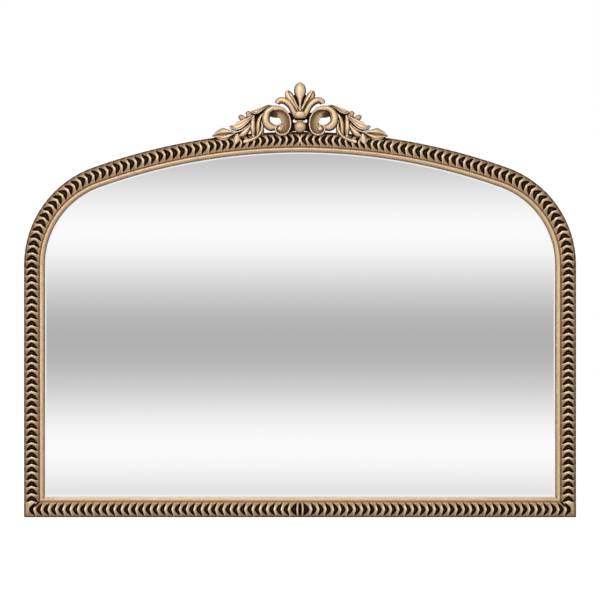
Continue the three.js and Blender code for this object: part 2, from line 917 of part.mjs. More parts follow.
// The cup and neck that carry the petals over the ball.
function palmette_cup() {
  const profile = [
    [0, 22],
    [5, 22],
    [6, 27],
    [11.5, 29],
    [11.5, 33],
    [8.5, 39],
    [0, 41],
  ].map(([radius, height]) => new THREE.Vector2(radius, height).multiplyScalar(crest_scale));
  const cup = new THREE.LatheGeometry(profile, 12).rotateX(Math.PI / 2);
  return cup.translate(0, crest_back_y - ball_forward, top_height);
}

// What the crest lies against: the moulding's front, grown by the fit.
const moulding_front = (() => {
  const reach = lip_inset + fit_gap;
  const bead_top = seat_y - fit_gap - bead_width - fit_gap;
  const arc = spread(8, -fit_gap, husk_width + fit_gap).map((inset) => {
    const clamped = THREE.MathUtils.clamp(inset, 0, husk_width);
    return [inset, ridge_arc(clamped) - 2 * fit_gap];
  });
  return swept(arch_run, [
    [-fit_gap, back_y + brace_sheet],
    ...arc,
    [husk_width + 2 * fit_gap, bead_top],
    [reach, bead_top],
    [reach, back_y + brace_sheet],
  ]);
})();

// Joins blades into one carving and cuts it clear of what it lies against.
function carving(blades, extras, cutters) {
  const whole = joined([...blades.map((item) => blade(item)), ...extras]);
  const cleared = [moulding_front, ...cutters].map(to_manifold)
    .reduce((rest, cutter) => rest.subtract(cutter), whole);
  return to_geometry(cleared);
}

const grown = (blades) => blades.map((item) => blade(item, fit_gap));
const scroll_keep_out = [...grown(scroll_blades), scroll_eye(fit_gap)];

const crest_ball = carving([], [ball(0)], []);
const crest_scroll = carving(scroll_blades, [scroll_eye(0)], []);
const crest_palmette = carving(palmette_blades, [palmette_cup()], [
  ball(fit_gap),
  ...scroll_keep_out,
  ...scroll_keep_out.map(mirrored),
  screw_hole(brace_screws.upper),
]);
const crest_acanthus = carving(acanthus_blades, [], scroll_keep_out);
const crest_laurel = carving(laurel_blades, [], grown(acanthus_blades));

// ---------------------------------------------------------------- assembly

const mirror = new THREE.Group();

function place(parent, name, geometry, material, position = new THREE.Vector3(), turn = 0) {
  const mesh = new THREE.Mesh(geometry, material);
  mesh.name = name;
  mesh.position.copy(position);
  mesh.rotation.y = turn;
  parent.add(mesh);
  return mesh;
}

const sub_group = () => {
  const group = new THREE.Group();
  mirror.add(group);
  return group;
};

// A shape made for the left, and its twin on the right.
function place_pair(parent, name, geometry, material) {
  const closed = to_geometry(to_manifold(geometry));
  place(parent, `${name}_left`, closed, material);
  place(parent, `${name}_right`, mirrored(closed), material);
}

const frame = sub_group();
place(frame, 'bottom_rail', bottom_rail, timber);
place_pair(frame, 'stile', left_stile, timber);
place_pair(frame, 'haunch', left_haunch, timber);
place(frame, 'crown_rail', crown_rail, timber);
for (const [name, joint] of Object.entries(joints)) {
  place_pair(frame, `${name}_dowel`, dowel(joint), beech);
}

const ornament = sub_group();
place_pair(ornament, 'husk_band_bottom', husk_strip(bottom_strip), gilding);
place_pair(ornament, 'husk_band_stile', husk_strip(stile_strip), gilding);
place_pair(ornament, 'husk_band_arch', husk_strip(arch_strip), gilding);
place(ornament, 'sight_bead_bottom', swept(bottom_run, bead_section), gilding);
place_pair(ornament, 'sight_bead', swept(stile_run, bead_section), gilding);
place(ornament, 'sight_bead_arch', swept(arch_run, bead_section), gilding);

const crest = sub_group();
place(crest, 'crest_palmette', crest_palmette, gilding);
place(crest, 'crest_ball', crest_ball, gilding);
place_pair(crest, 'crest_scroll', crest_scroll, gilding);
place_pair(crest, 'crest_acanthus', crest_acanthus, gilding);
place_pair(crest, 'crest_laurel', crest_laurel, gilding);

const pane = sub_group();
place(pane, 'mirror_plate', mirror_plate, silvered_glass);
place(pane, 'back_board', back_board, hardboard);
for (const [name, side] of [['left', -1], ['right', 1]]) {
  place(pane, `glass_rest_${name}`, glass_rest(), rubber, on_side(glass_rest_place, side));
}

const fittings = sub_group();
place(fittings, 'crest_brace', crest_brace(), zinc_steel);
for (const [level, spot] of Object.entries(brace_screws)) {
  place(fittings, `crest_brace_screw_${level}`, screw(), zinc_steel, spot);
}
place_pair(fittings, 'hanger_strap', hanger_strap(), zinc_steel);
for (const [name, side] of [['left', -1], ['right', 1]]) {
  const pivot = new THREE.Vector3(stile_middle, hanger_axis_y, hanger_height);
  place(fittings, `hanger_ring_${name}`, hanger_ring(), zinc_steel, on_side(pivot, side));
  hanger_screws.forEach((spot, i) => {
    const level = i === 0 ? 'upper' : 'lower';
    place(fittings, `hanger_screw_${name}_${level}`, screw(), zinc_steel, on_side(spot, side));
  });
  for (const [where, spot] of Object.entries(button_stations)) {
    const pivot_point = inset_point(spot, button_pivot_inset, button_front_y);
    const head_point = button_pivot(where);
    const turn = -side * Math.atan2(spot.inward_x, spot.inward_z);
    const button = `turn_button_${where}_${name}`;
    place(fittings, button, turn_button(), zinc_steel, on_side(pivot_point, side), turn);
    place(fittings, `${button}_screw`, screw(), zinc_steel, on_side(head_point, side));
  }
  place(fittings, `wall_bumper_${name}`, wall_bumper(), rubber, on_side(bumper_place, side));
}

export default mirror;
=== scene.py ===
"""An arched overmantel mirror: carved gilt frame and crest, silvered glass, and the fittings
behind it. Lengths below are in millimetres in the model's frame (X across, +Y to the wall,
Z up) until a mesh is made, which is in metres."""

import json
import math
from dataclasses import dataclass

import bmesh
import bpy
import numpy as np
from bpy.props import FloatProperty, FloatVectorProperty, PointerProperty
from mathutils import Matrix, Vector


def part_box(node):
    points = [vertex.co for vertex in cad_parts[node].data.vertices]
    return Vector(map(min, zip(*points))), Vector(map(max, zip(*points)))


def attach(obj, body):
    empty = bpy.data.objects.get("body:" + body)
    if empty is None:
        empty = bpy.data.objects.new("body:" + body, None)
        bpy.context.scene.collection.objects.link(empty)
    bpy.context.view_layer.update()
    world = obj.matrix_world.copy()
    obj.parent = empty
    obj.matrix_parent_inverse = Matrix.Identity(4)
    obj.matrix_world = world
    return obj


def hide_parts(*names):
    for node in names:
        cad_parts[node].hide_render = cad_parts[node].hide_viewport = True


bl_info = {
    "name": "Overmantel mirror",
    "version": (1, 0, 0),
    "blender": (4, 5, 0),
    "location": "3D View > Sidebar > Mirror",
    "description": "Carved gilt frame, crest, glass and fittings of an arched overmantel mirror",
    "category": "Add Mesh",
}

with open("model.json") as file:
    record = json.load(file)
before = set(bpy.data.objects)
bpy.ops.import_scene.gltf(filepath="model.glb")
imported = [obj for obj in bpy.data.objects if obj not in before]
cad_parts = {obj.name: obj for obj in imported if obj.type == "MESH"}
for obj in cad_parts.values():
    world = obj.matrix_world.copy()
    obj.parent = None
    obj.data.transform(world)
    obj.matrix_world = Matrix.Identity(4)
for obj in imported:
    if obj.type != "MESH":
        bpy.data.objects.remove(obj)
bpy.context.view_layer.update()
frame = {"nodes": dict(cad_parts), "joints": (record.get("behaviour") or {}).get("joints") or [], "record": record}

MM = 0.001
FRAME_BODY = "frame"


def corner_mm(node, corner, axis):
    """One coordinate of a node's lowest (0) or highest (1) corner, to a hundredth."""
    return round(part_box(node)[corner][axis] / MM, 2)


# ---------------------------------------------------------------- places read from the frame

# The room left between neighbouring pieces.
GAP = 0.3
HALF_WIDTH = -corner_mm("stile_left", 0, 0)
SPRINGING = corner_mm("stile_left", 1, 2) + GAP / 2
TOP = corner_mm("crown_rail", 1, 2)
BACK_Y = corner_mm("bottom_rail", 1, 1)
BEAD_FOOT_Y = corner_mm("sight_bead_bottom", 1, 1)
SEAT_Y = BEAD_FOOT_Y + GAP
HUSK_WIDTH = corner_mm("husk_band_bottom_left", 1, 2)
HUSK_CROWN_Y = corner_mm("husk_band_bottom_left", 0, 1)
CREST_BACK_Y = corner_mm("crest_scroll_left", 1, 1)
BALL_TOP_Y = corner_mm("crest_ball", 0, 1)

# The arch: haunches of this radius, joined by one flat crown arc.
HAUNCH_RADIUS = 225.0
ARCH_RISE = TOP - SPRINGING
HAUNCH_CENTRE = HALF_WIDTH - HAUNCH_RADIUS
CROWN_RADIUS = (HAUNCH_CENTRE**2 + ARCH_RISE**2 - HAUNCH_RADIUS**2) / (
    2 * (ARCH_RISE - HAUNCH_RADIUS)
)
CROWN_CENTRE = TOP - CROWN_RADIUS
CROWN_HALF_ANGLE = math.atan2(HAUNCH_CENTRE, CROWN_RADIUS - ARCH_RISE)
HAUNCH_SWEEP = math.pi / 2 - CROWN_HALF_ANGLE

# The moulding's section, measured inward from the outer edge.
HUSK_MIDDLE = HUSK_WIDTH / 2
HUSK_SHOULDER_Y = SEAT_Y - 2.5
CORE_MARGIN = 2.0
CORE_RISE = 6.5
BEAD_INSET = 34.1
BEAD_WIDTH = 6.8
LIP_INSET = BEAD_INSET + BEAD_WIDTH
MOULDING_WIDTH = 45.4
LIP_THICKNESS = 9.4
SIGHT_EDGE = 2.4
# Where the lip ends over the glass, a little less at the sides and the top than at the bottom.
SIGHT_INSET = MOULDING_WIDTH - 1.6
BOTTOM_SIGHT_INSET = MOULDING_WIDTH - 2.8
REBATE_INSET = MOULDING_WIDTH - 10.0


# ---------------------------------------------------------------- numbers and curves


def smooth(low, high, value):
    """0 below `low`, 1 above `high`, an S-curve between."""
    share = np.clip((value - low) / (high - low), 0.0, 1.0)
    return share * share * (3.0 - 2.0 * share)


def catmull_rom(points, count):
    """`count` points along the curve through `points`, evenly spread by point number."""
    points = np.asarray(points, float)
    ends = (2 * points[0] - points[1], 2 * points[-1] - points[-2])
    padded = np.vstack([ends[0], points, ends[1]])
    along = np.linspace(0, len(points) - 1, count)
    span = np.minimum(along.astype(int), len(points) - 2)
    t = (along - span)[:, None]
    a, b, c, d = (padded[span + k] for k in range(4))
    return 0.5 * (
        2 * b + (c - a) * t + (2 * a - 5 * b + 4 * c - d) * t**2 + (3 * b - a - 3 * c + d) * t**3
    )


def haunch_stations(angles):
    """Stations of the left haunch: x, z and the way inward; angle 0 is the springing."""
    x = -HAUNCH_CENTRE - HAUNCH_RADIUS * np.cos(angles)
    z = SPRINGING + HAUNCH_RADIUS * np.sin(angles)
    return np.column_stack([x, z, np.cos(angles), -np.sin(angles)])


def crown_stations(angles):
    """Stations of the crown; angle 0 is its top."""
    x = CROWN_RADIUS * np.sin(angles)
    z = CROWN_CENTRE + CROWN_RADIUS * np.cos(angles)
    return np.column_stack([x, z, -np.sin(angles), -np.cos(angles)])


def other_side(stations):
    """The same run of stations on the other side of the middle."""
    return stations * (-1, 1, -1, 1)


def inset_points(stations, insets, ys):
    """Points at insets from the outer edge, one per station and column: (rows, columns, 3)."""
    x = stations[..., 0] + insets * stations[..., 2]
    z = stations[..., 1] + insets * stations[..., 3]
    return np.stack(np.broadcast_arrays(x, ys, z), axis=-1)


def arch_top(x):
    """Height of the arch's outer edge."""
    return CROWN_CENTRE + np.sqrt(CROWN_RADIUS**2 - np.asarray(x) ** 2)


# ---------------------------------------------------------------- meshes


def grid_faces(rows, columns, joined=False):
    """Faces of a tube of `rows` closed rings of `columns` points. The tube has a cap at each
    end, or its ends are joined."""
    faces = []
    for row in range(rows if joined else rows - 1):
        for column in range(columns):
            after = (column + 1) % columns
            here = row * columns
            there = (row + 1) % rows * columns
            faces.append((here + column, here + after, there + after, there + column))
    if not joined:
        faces.append(tuple(range(columns - 1, -1, -1)))
        faces.append(tuple((rows - 1) * columns + column for column in range(columns)))
    return faces


def read(items, field, width, kind=np.float32):
    """One field of a mesh's points or edges, as rows of `width` numbers."""
    flat = np.empty(len(items) * width, kind)
    items.foreach_get(field, flat)
    return flat.reshape(-1, width)


def write(mesh, name, numbers):
    """Keeps a number for each point of a mesh under an attribute's name."""
    layer = mesh.attributes.new(name, "FLOAT", "POINT")
    layer.data.foreach_set("value", np.asarray(numbers, np.float32).ravel())


# Points nearer than this are one point, and edges shorter than this are dropped, in metres.
WELD = 1e-6
SLIVER = 1e-7


def mesh_from(name, points, faces, values=None):
    """A mesh in metres from points in millimetres, welded, with its faces pointing out.
    `values` holds a number for each point under an attribute's name."""
    mesh = bpy.data.meshes.new(name)
    mesh.from_pydata((np.asarray(points, float).reshape(-1, 3) * MM).tolist(), [], faces)
    for attribute, numbers in (values or {}).items():
        write(mesh, attribute, numbers)
    shape = bmesh.new()
    shape.from_mesh(mesh)
    bmesh.ops.remove_doubles(shape, verts=shape.verts, dist=WELD)
    bmesh.ops.dissolve_degenerate(shape, dist=SLIVER, edges=shape.edges)
    bmesh.ops.recalc_face_normals(shape, faces=shape.faces)
    shape.to_mesh(mesh)
    shape.free()
    return mesh


def shade(mesh, sharp_angle=40.0):
    """Smooth shading, with edges steeper than the angle kept crisp."""
    mesh.polygons.foreach_set("use_smooth", [True] * len(mesh.polygons))
    mesh.set_sharp_from_angle(angle=math.radians(sharp_angle))


def add_piece(name, mesh, material, nodes=(), body=FRAME_BODY):
    """Puts a mesh in the scene as a piece that rides on a body and stands for CAD nodes."""
    piece = bpy.data.objects.new(name, mesh)
    bpy.context.scene.collection.objects.link(piece)
    mesh.materials.append(material)
    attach(piece, body)
    if nodes:
        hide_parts(*nodes)
    return piece


def mirror_mesh(mesh, name):
    """A copy of a mesh on the other side of the middle."""
    twin = mesh.copy()
    twin.name = name
    shape = bmesh.new()
    shape.from_mesh(twin)
    for vert in shape.verts:
        vert.co.x = -vert.co.x
    bmesh.ops.reverse_faces(shape, faces=shape.faces)
    shape.to_mesh(twin)
    shape.free()
    twin.materials.clear()
    return twin


def add_pair(name, mesh, material):
    """A piece made for the left and its twin on the right, each for its own node."""
    right = mirror_mesh(mesh, f"{name}_right")
    shade(right)
    add_piece(f"gilt_{name}_left", mesh, material, [f"{name}_left"])
    add_piece(f"gilt_{name}_right", right, material, [f"{name}_right"])


def points_of(mesh):
    """A mesh's points as an array, in millimetres."""
    return read(mesh.vertices, "co", 3).astype(float) / MM


def edges_of(mesh):
    """A mesh's edges as pairs of point numbers."""
    return read(mesh.edges, "vertices", 2, np.int32)


def neighbour_mean(values, edges):
    """The mean of each point's neighbours."""
    total = np.zeros_like(values)
    count = np.zeros(len(values))
    for a, b in ((0, 1), (1, 0)):
        np.add.at(total, edges[:, a], values[edges[:, b]])
        np.add.at(count, edges[:, a], 1)
    return total / np.maximum(count, 1)[:, None]


def blurred(values, edges, rounds, factor=0.6):
    """Values spread over the surface by repeated averaging."""
    for _ in range(rounds):
        values = values + factor * (neighbour_mean(values, edges) - values)
    return values


# How washes, rubbing, painted shade and painted highlights lie on carving. Each pair is where an
# effect starts and where it is full: of relief in millimetres, of a normal's part, or of a distance.
NEAR_ROUNDS = 7
WIDE_ROUNDS = 45
FINE_HOLLOW = (0.04, 0.26)
BROAD_HOLLOW = (0.2, 1.5)
FINE_RIDGE = (0.05, 0.22)
BROAD_RIDGE = (0.3, 1.3)
BROAD_RUB = 0.8
STEEP_SIDE = (0.30, 0.86)
STEEP_WASH_AND_SHADE = 0.86
FACING_UP = (0.1, 0.9)
FACING_OUT = (0.72, 0.98)
FRONT_SHEEN = 0.16
SHADE_PATCH_FADE = (0.4, 1.2)
RIM_FADE = (1.2, 2.3)
RIM_RUB = 0.85
DEEPEST_WASH = 0.76
THINNEST_WASH = 0.12


def mark_relief(mesh, back_y, low, high, shade_patches=(), rims=()):
    """Adds two attributes, both 0 to 1: a darkening and a brightening. The darkening lies in hollows
    as washes; on what is low and, thinner, on steep sides it is partly washes and partly painted
    shade, less on sides that face up, as painted light. The brightening is rubbing on ridges, a
    painted highlight on what faces the front, and more of both on steep sides that face up. A
    point's relief is how far it stands out from the surface averaged round it, narrowly and widely.
    Each of the patches is painted shade: its x, z, half-width, half-height and strength. Each of
    `rims` is a row of (x, z) points along which the gilding is worn bright by rubbing."""
    points = points_of(mesh)
    edges = edges_of(mesh)
    normals = read(mesh.vertices, "normal", 3)
    near = blurred(points, edges, NEAR_ROUNDS)
    wide = blurred(near, edges, WIDE_ROUNDS)
    fine = np.sum((points - near) * normals, axis=1)
    broad = np.sum((points - wide) * normals, axis=1)
    height = back_y - points[:, 1]
    # Steep sides turned from the front are darkened, partly washes and partly painted shade; less where they face
    # up, as painted light.
    steep = smooth(*STEEP_SIDE, 1 - np.abs(normals[:, 1]))
    steep *= 1 - 0.6 * smooth(*FACING_UP, normals[:, 2])
    wash = np.maximum.reduce([
        smooth(*FINE_HOLLOW, -fine),
        smooth(*BROAD_HOLLOW, -broad),
        1.0 - smooth(low, high, height),
        STEEP_WASH_AND_SHADE * steep,
    ])
    wash = np.minimum(wash, DEEPEST_WASH)
    for x, z, half_width, half_height, amount in shade_patches:
        away = np.hypot((points[:, 0] - x) / half_width, (points[:, 2] - z) / half_height)
        wash = np.maximum(wash, amount * (1 - smooth(*SHADE_PATCH_FADE, away)))
    # Painted highlight on what faces the front.
    facing = FRONT_SHEEN * smooth(*FACING_OUT, -normals[:, 1]) * (1 - smooth(0.0, 0.3, wash))
    ridges = BROAD_RUB * smooth(*BROAD_RIDGE, broad)
    rub = np.maximum.reduce([smooth(*FINE_RIDGE, fine), ridges, facing])
    rub *= 1 - 0.8 * steep
    for rim in rims:
        away = np.min(np.hypot(points[:, :1] - rim[:, 0], points[:, 2:] - rim[:, 1]), axis=1)
        bright = (1 - smooth(*RIM_FADE, away)) * (height > high)
        rub = np.maximum(rub, RIM_RUB * bright)
        wash = np.minimum(wash, 1 - 0.95 * bright)
    for name, numbers in (("wash", wash + THINNEST_WASH), ("rub", rub)):
        write(mesh, name, blurred(numbers[:, None], edges, 1))


SKIN_VOXEL = 0.6
SKIN_SOFTENING = 2


def fused(name, parts):
    """Overlapping closed shapes melted into one carved skin."""
    points = []
    faces = []
    for part_points, part_faces in parts:
        start = sum(len(group) for group in points)
        points.append(np.asarray(part_points, float).reshape(-1, 3))
        faces.extend(tuple(start + k for k in face) for face in part_faces)
    mesh = mesh_from(name, np.vstack(points), faces)
    whole = bpy.data.objects.new(name, mesh)
    bpy.context.scene.collection.objects.link(whole)
    remesh = whole.modifiers.new("skin", "REMESH")
    remesh.mode = "VOXEL"
    remesh.voxel_size = SKIN_VOXEL * MM
    bpy.context.view_layer.update()
    evaluated = whole.evaluated_get(bpy.context.evaluated_depsgraph_get())
    skin = bpy.data.meshes.new_from_object(evaluated)
    bpy.data.objects.remove(whole)
    softened = blurred(points_of(skin), edges_of(skin), SKIN_SOFTENING, 0.5) * MM
    skin.vertices.foreach_set("co", softened.ravel())
    skin.update()
    return skin


# ---------------------------------------------------------------- node materials


class Nodes:
    """Makes and links the nodes of a material or of the room."""

    def __init__(self, owner):
        owner.use_nodes = True
        self.tree = owner.node_tree
        self.tree.nodes.clear()

    def add(self, kind, **settings):
        node = self.tree.nodes.new(kind)
        for key, value in settings.items():
            setattr(node, key, value)
        return node

    def link(self, source, socket):
        if isinstance(source, bpy.types.NodeSocket):
            self.tree.links.new(source, socket)
        else:
            socket.default_value = source

    def math(self, operation, *values):
        node = self.add("ShaderNodeMath", operation=operation)
        for socket, value in zip(node.inputs, values):
            self.link(value, socket)
        return node.outputs[0]


    def seen(self):
        """1 for what the eye sees, straight or through something clear, and otherwise 0."""
        path = self.add("ShaderNodeLightPath").outputs
        return self.math("MAXIMUM", path["Is Camera Ray"], path["Is Transmission Ray"])


class Finish(Nodes):
    """The nodes of one material, round its shader."""

    def __init__(self, name):
        self.material = bpy.data.materials.new(name)
        super().__init__(self.material)
        self.output = self.add("ShaderNodeOutputMaterial")
        self.shader = self.add("ShaderNodeBsdfPrincipled")
        self.link(self.shader.outputs[0], self.output.inputs[0])
        self.place = self.add("ShaderNodeTexCoord").outputs["Object"]

    def stretched(self, factors):
        """Object coordinates with each axis scaled."""
        mapping = self.add("ShaderNodeMapping")
        self.link(self.place, mapping.inputs["Vector"])
        self.link(factors, mapping.inputs["Scale"])
        return mapping.outputs[0]

    def noise(self, size, detail=3.0, roughness=0.55, place=None):
        """Noise whose lumps are about `size` millimetres across."""
        noise = self.add("ShaderNodeTexNoise")
        self.link(place or self.place, noise.inputs["Vector"])
        self.link(1 / (size * MM), noise.inputs["Scale"])
        self.link(detail, noise.inputs["Detail"])
        self.link(roughness, noise.inputs["Roughness"])
        return noise.outputs["Fac"]

    def attribute(self, name):
        return self.add("ShaderNodeAttribute", attribute_name=name).outputs["Fac"]

    def ranged(self, value, low, high, to_low=0.0, to_high=1.0):
        """A value mapped smoothly from one range to another."""
        node = self.add("ShaderNodeMapRange", interpolation_type="SMOOTHSTEP")
        numbers = (value, low, high, to_low, to_high)
        for socket, number in zip(node.inputs[:5], numbers):
            self.link(number, socket)
        return node.outputs[0]

    def mix(self, factor, first, second):
        node = self.add("ShaderNodeMix", data_type="RGBA")
        self.link(factor, node.inputs["Factor"])
        self.link(first, node.inputs[6])
        self.link(second, node.inputs[7])
        return node.outputs[2]

    def bump(self, height, depth, strength=0.5, normal=None):
        """A relief `depth` millimetres deep on the surface, over another where one is given."""
        node = self.add("ShaderNodeBump")
        self.link(height, node.inputs["Height"])
        self.link(depth * MM, node.inputs["Distance"])
        self.link(strength, node.inputs["Strength"])
        if normal is not None:
            self.link(normal, node.inputs["Normal"])
        return node.outputs[0]

    def set(self, socket, value):
        """Gives one of the shader's sockets a value or a link."""
        self.link(value, self.shader.inputs[socket])


def srgb(red, green, blue):
    """A colour given as 0-255 display values, as the linear colour that nodes take."""
    def linear(value):
        value = value / 255
        return value / 12.92 if value <= 0.04045 else ((value + 0.055) / 1.055) ** 2.4
    return (linear(red), linear(green), linear(blue), 1.0)


RAW_WOOD = (srgb(196, 158, 112), srgb(158, 118, 78))
RAGGED_EDGE = 5.0
BARE_FROM = BACK_Y - 0.6
BARE_BEYOND = BACK_Y + 1.4


def bare_timber(nodes, grain_way, brushing):
    """How bare the timber is, from its gilt front to its raw back, and the raw wood's colour."""
    split = nodes.add("ShaderNodeSeparateXYZ")
    nodes.link(nodes.place, split.inputs[0])
    brushed = nodes.math("MULTIPLY", brushing, RAGGED_EDGE * MM)
    ragged = nodes.math("ADD", split.outputs["Y"], brushed)
    grain = nodes.noise(1.6, 5.0, 0.6, nodes.stretched(grain_way))
    wood = nodes.mix(nodes.ranged(grain, 0.34, 0.68), *RAW_WOOD)
    return nodes.ranged(ragged, BARE_FROM * MM, BARE_BEYOND * MM), wood


# Where each colour of the gilding stands on the scale of washes and painted shade, after plain leaf at none.
WASH_LEVELS = {"dull": 0.22, "film": 0.45, "brown": 0.68}
FULL_WASH = 0.92
BRUSH_SWING = 0.34
CLOUD_SWING = 0.30
LEAF_METAL = 0.55
LEAF_ROUGHNESS = 0.36
WASH_ROUGHNESS = 0.8
WOOD_ROUGHNESS = 0.72
GILT_SPECULAR = 0.05


def gilding(colours, name, unevenness=1.0, grain_way=None):
    """Champagne gold leaf, worn bright on the ridges by rubbing, with dark brown washes left in the
    hollows. The darkening attribute goes from clean leaf through thin washes to hollows filled dark,
    and also carries painted shade; the brightening attribute carries rubbing and painted highlights."""
    nodes = Finish(name)
    clouds = nodes.noise(16.0, 4.0)
    specks = nodes.noise(1.0, 2.0, 0.7)
    brushing = nodes.noise(3.0, 3.0, 0.6)
    rub = nodes.attribute("rub")
    wash = nodes.attribute("wash")
    for noise, swing in ((brushing, BRUSH_SWING), (clouds, CLOUD_SWING)):
        uneven = nodes.math("MULTIPLY", nodes.math("SUBTRACT", noise, 0.5), swing * unevenness)
        wash = nodes.math("ADD", wash, uneven)
    ramp = nodes.add("ShaderNodeValToRGB")
    stops = ramp.color_ramp.elements
    stops[0].color = tuple(colours.body)
    stops[1].position = FULL_WASH
    stops[1].color = tuple(colours.wash)
    for colour, level in WASH_LEVELS.items():
        stops.new(level).color = tuple(getattr(colours, colour))
    nodes.link(wash, ramp.inputs[0])
    # Rubbing and painted highlights pull the leaf toward the bright colour, where it is not darkened.
    shine = nodes.math("MULTIPLY", rub, nodes.ranged(wash, 0.05, 0.6, 1.0, 0.0))
    colour = nodes.mix(shine, ramp.outputs[0], tuple(colours.rubbed_and_sheen))
    grime = nodes.ranged(specks, 0.66, 0.84, 0.0, 0.4)
    colour = nodes.mix(grime, colour, tuple(colours.film))
    metal = nodes.ranged(wash, 0.0, 0.75, LEAF_METAL, 0.0)
    rough = nodes.ranged(wash, 0.0, 0.8, LEAF_ROUGHNESS, WASH_ROUGHNESS)
    if grain_way:
        bare, wood = bare_timber(nodes, grain_way, brushing)
        colour = nodes.mix(bare, colour, wood)
        metal = nodes.math("MULTIPLY", metal, nodes.math("SUBTRACT", 1.0, bare))
        rough = nodes.math("MAXIMUM", rough, nodes.math("MULTIPLY", bare, WOOD_ROUGHNESS))
    nodes.set("Base Color", colour)
    nodes.set("Metallic", metal)
    nodes.set("Roughness", nodes.math("ADD", rough, nodes.math("MULTIPLY", specks, 0.1)))
    nodes.set("Specular IOR Level", GILT_SPECULAR)
    grain = nodes.bump(specks, 0.12)
    nodes.set("Normal", nodes.bump(brushing, 0.22 * unevenness, 0.5, grain))
    return nodes.material


# ---------------------------------------------------------------- settings


COLOUR = {"subtype": "COLOR", "size": 4, "min": 0, "max": 1}


class GiltColours(bpy.types.PropertyGroup):
    """Colours of the gilding, of the washes over it, and of the painted shade and highlights laid on it."""

    rubbed_and_sheen: FloatVectorProperty(
        name="Rubbed gold", description="Leaf polished bright on the ridges",
        default=srgb(238, 217, 189), **COLOUR,
    )
    body: FloatVectorProperty(
        name="Gold", description="Plain leaf",
        default=srgb(208, 178, 142), **COLOUR,
    )
    dull: FloatVectorProperty(
        name="Dull gold", description="Leaf under the thinnest wash",
        default=srgb(176, 147, 114), **COLOUR,
    )
    film: FloatVectorProperty(
        name="Thin wash", description="Wash where it is wiped thin",
        default=srgb(134, 108, 82), **COLOUR,
    )
    brown: FloatVectorProperty(
        name="Brown wash", description="Wash at the edges of the hollows",
        default=srgb(86, 62, 42), **COLOUR,
    )
    wash: FloatVectorProperty(
        name="Deep wash", description="Wash that fills the hollows",
        default=srgb(20, 8, 2), **COLOUR,
    )


class HuskSizes(bpy.types.PropertyGroup):
    """Sizes of one husk of the band."""

    ridge: FloatProperty(
        name="Ridge", description="From a hollow's front edge to the next hollow",
        unit="LENGTH", default=5.6 * MM,
    )
    depth: FloatProperty(
        name="Depth", description="Depth of a hollow", unit="LENGTH", default=5.4 * MM,
    )
    reach: FloatProperty(
        name="Reach", description="From the middle to a hollow's tip", unit="LENGTH",
        default=12.6 * MM,
    )
    front_lag: FloatProperty(
        name="Front lag", description="How far a hollow's front edge sweeps back at its tips",
        unit="LENGTH", default=12.2 * MM,
    )
    rear_lag: FloatProperty(
        name="Rear lag", description="How far its rear edge sweeps back", unit="LENGTH",
        default=4.4 * MM,
    )


class StudioSizes(bpy.types.PropertyGroup):
    """The camera and the lamps."""

    camera_distance: FloatProperty(
        name="Camera distance", description="From the band's outer edge to the camera",
        unit="LENGTH", default=5.0,
    )
    camera_height: FloatProperty(
        name="Camera height", description="Height of the camera and of the picture's middle",
        unit="LENGTH", default=0.4722,
    )
    field_width: FloatProperty(
        name="Field width", description="Width that the picture spans at the mirror",
        unit="LENGTH", default=1.3043,
    )
    key_power: FloatProperty(
        name="Key power", description="Power of the large lamp above the front", default=95.0,
    )
    fill_power: FloatProperty(
        name="Fill power", description="Power of each lamp at the sides", default=16.0,
    )
    room_light: FloatProperty(
        name="Room light", description="Light from the pale room all round", default=0.42,
    )


# ---------------------------------------------------------------- the husk band


def ridge_y(inset):
    """Front face of the band before it is carved."""
    rise = HUSK_SHOULDER_Y - HUSK_CROWN_Y
    radius = (HUSK_MIDDLE**2 + rise**2) / (2 * rise)
    return HUSK_CROWN_Y + radius - np.sqrt(radius**2 - (inset - HUSK_MIDDLE) ** 2)


def core_y(inset, offset):
    """Front of the timber's rounded core, or of a skin over it."""
    half_span = HUSK_MIDDLE - CORE_MARGIN
    radius = (half_span**2 + CORE_RISE**2) / (2 * CORE_RISE)
    reach = radius + offset
    aside = np.clip(np.abs(inset - HUSK_MIDDLE), 0, reach * 0.999)
    return np.minimum(SEAT_Y - CORE_RISE + radius - np.sqrt(reach**2 - aside**2), SEAT_Y - offset)


@dataclass
class Hollow:
    """One hollow of the band: its front edge is a blunt V and its rear edge a sharper one."""

    front: float
    length: float
    front_lag: float
    rear_lag: float
    depth: float

    def front_at(self, aside):
        return self.front - self.front_lag * aside**1.85

    def rear_at(self, aside):
        return self.front - self.length - self.rear_lag * aside**0.9


class Lens(Hollow):
    """The pointed oval hollow at the middle of the bottom, half on each strip."""

    def front_at(self, aside):
        return self.front * np.sqrt(np.clip(1.02 - aside**2, 0.02, 1))

    def rear_at(self, aside):
        return -self.front_at(aside)


# Shares of a hollow's length, and how deep it is there, and of the ridge that follows.
HOLLOW_STEPS = (0.0, 0.04, 0.12, 0.24, 0.36, 0.44, 0.52, 0.64, 0.78, 0.90, 0.97, 1.0)
HOLLOW_DEPTHS = (0.0, 0.34, 0.78, 0.95, 0.93, 0.76, 0.93, 1.0, 0.95, 0.74, 0.32, 0.0)
RIDGE_STEPS = (0.06, 0.18, 0.34, 0.52, 0.70, 0.84, 0.95)
RIDGE_CREST = 0.58
FRONT_DROP = 1.5
REAR_DROP = 1.0
LONG_STEP = 1.3

# The fold down the middle of a hollow, lighter along its crest as a painted highlight, and the hollow's levels
# where the washes start and are full.
FOLD_STEP = 0.44
FOLD_WIDTH = 0.06
FOLD_HIGHLIGHT = 0.40
HOLLOW_WASH = (0.03, 0.35)
GROUND_WASH = 0.40

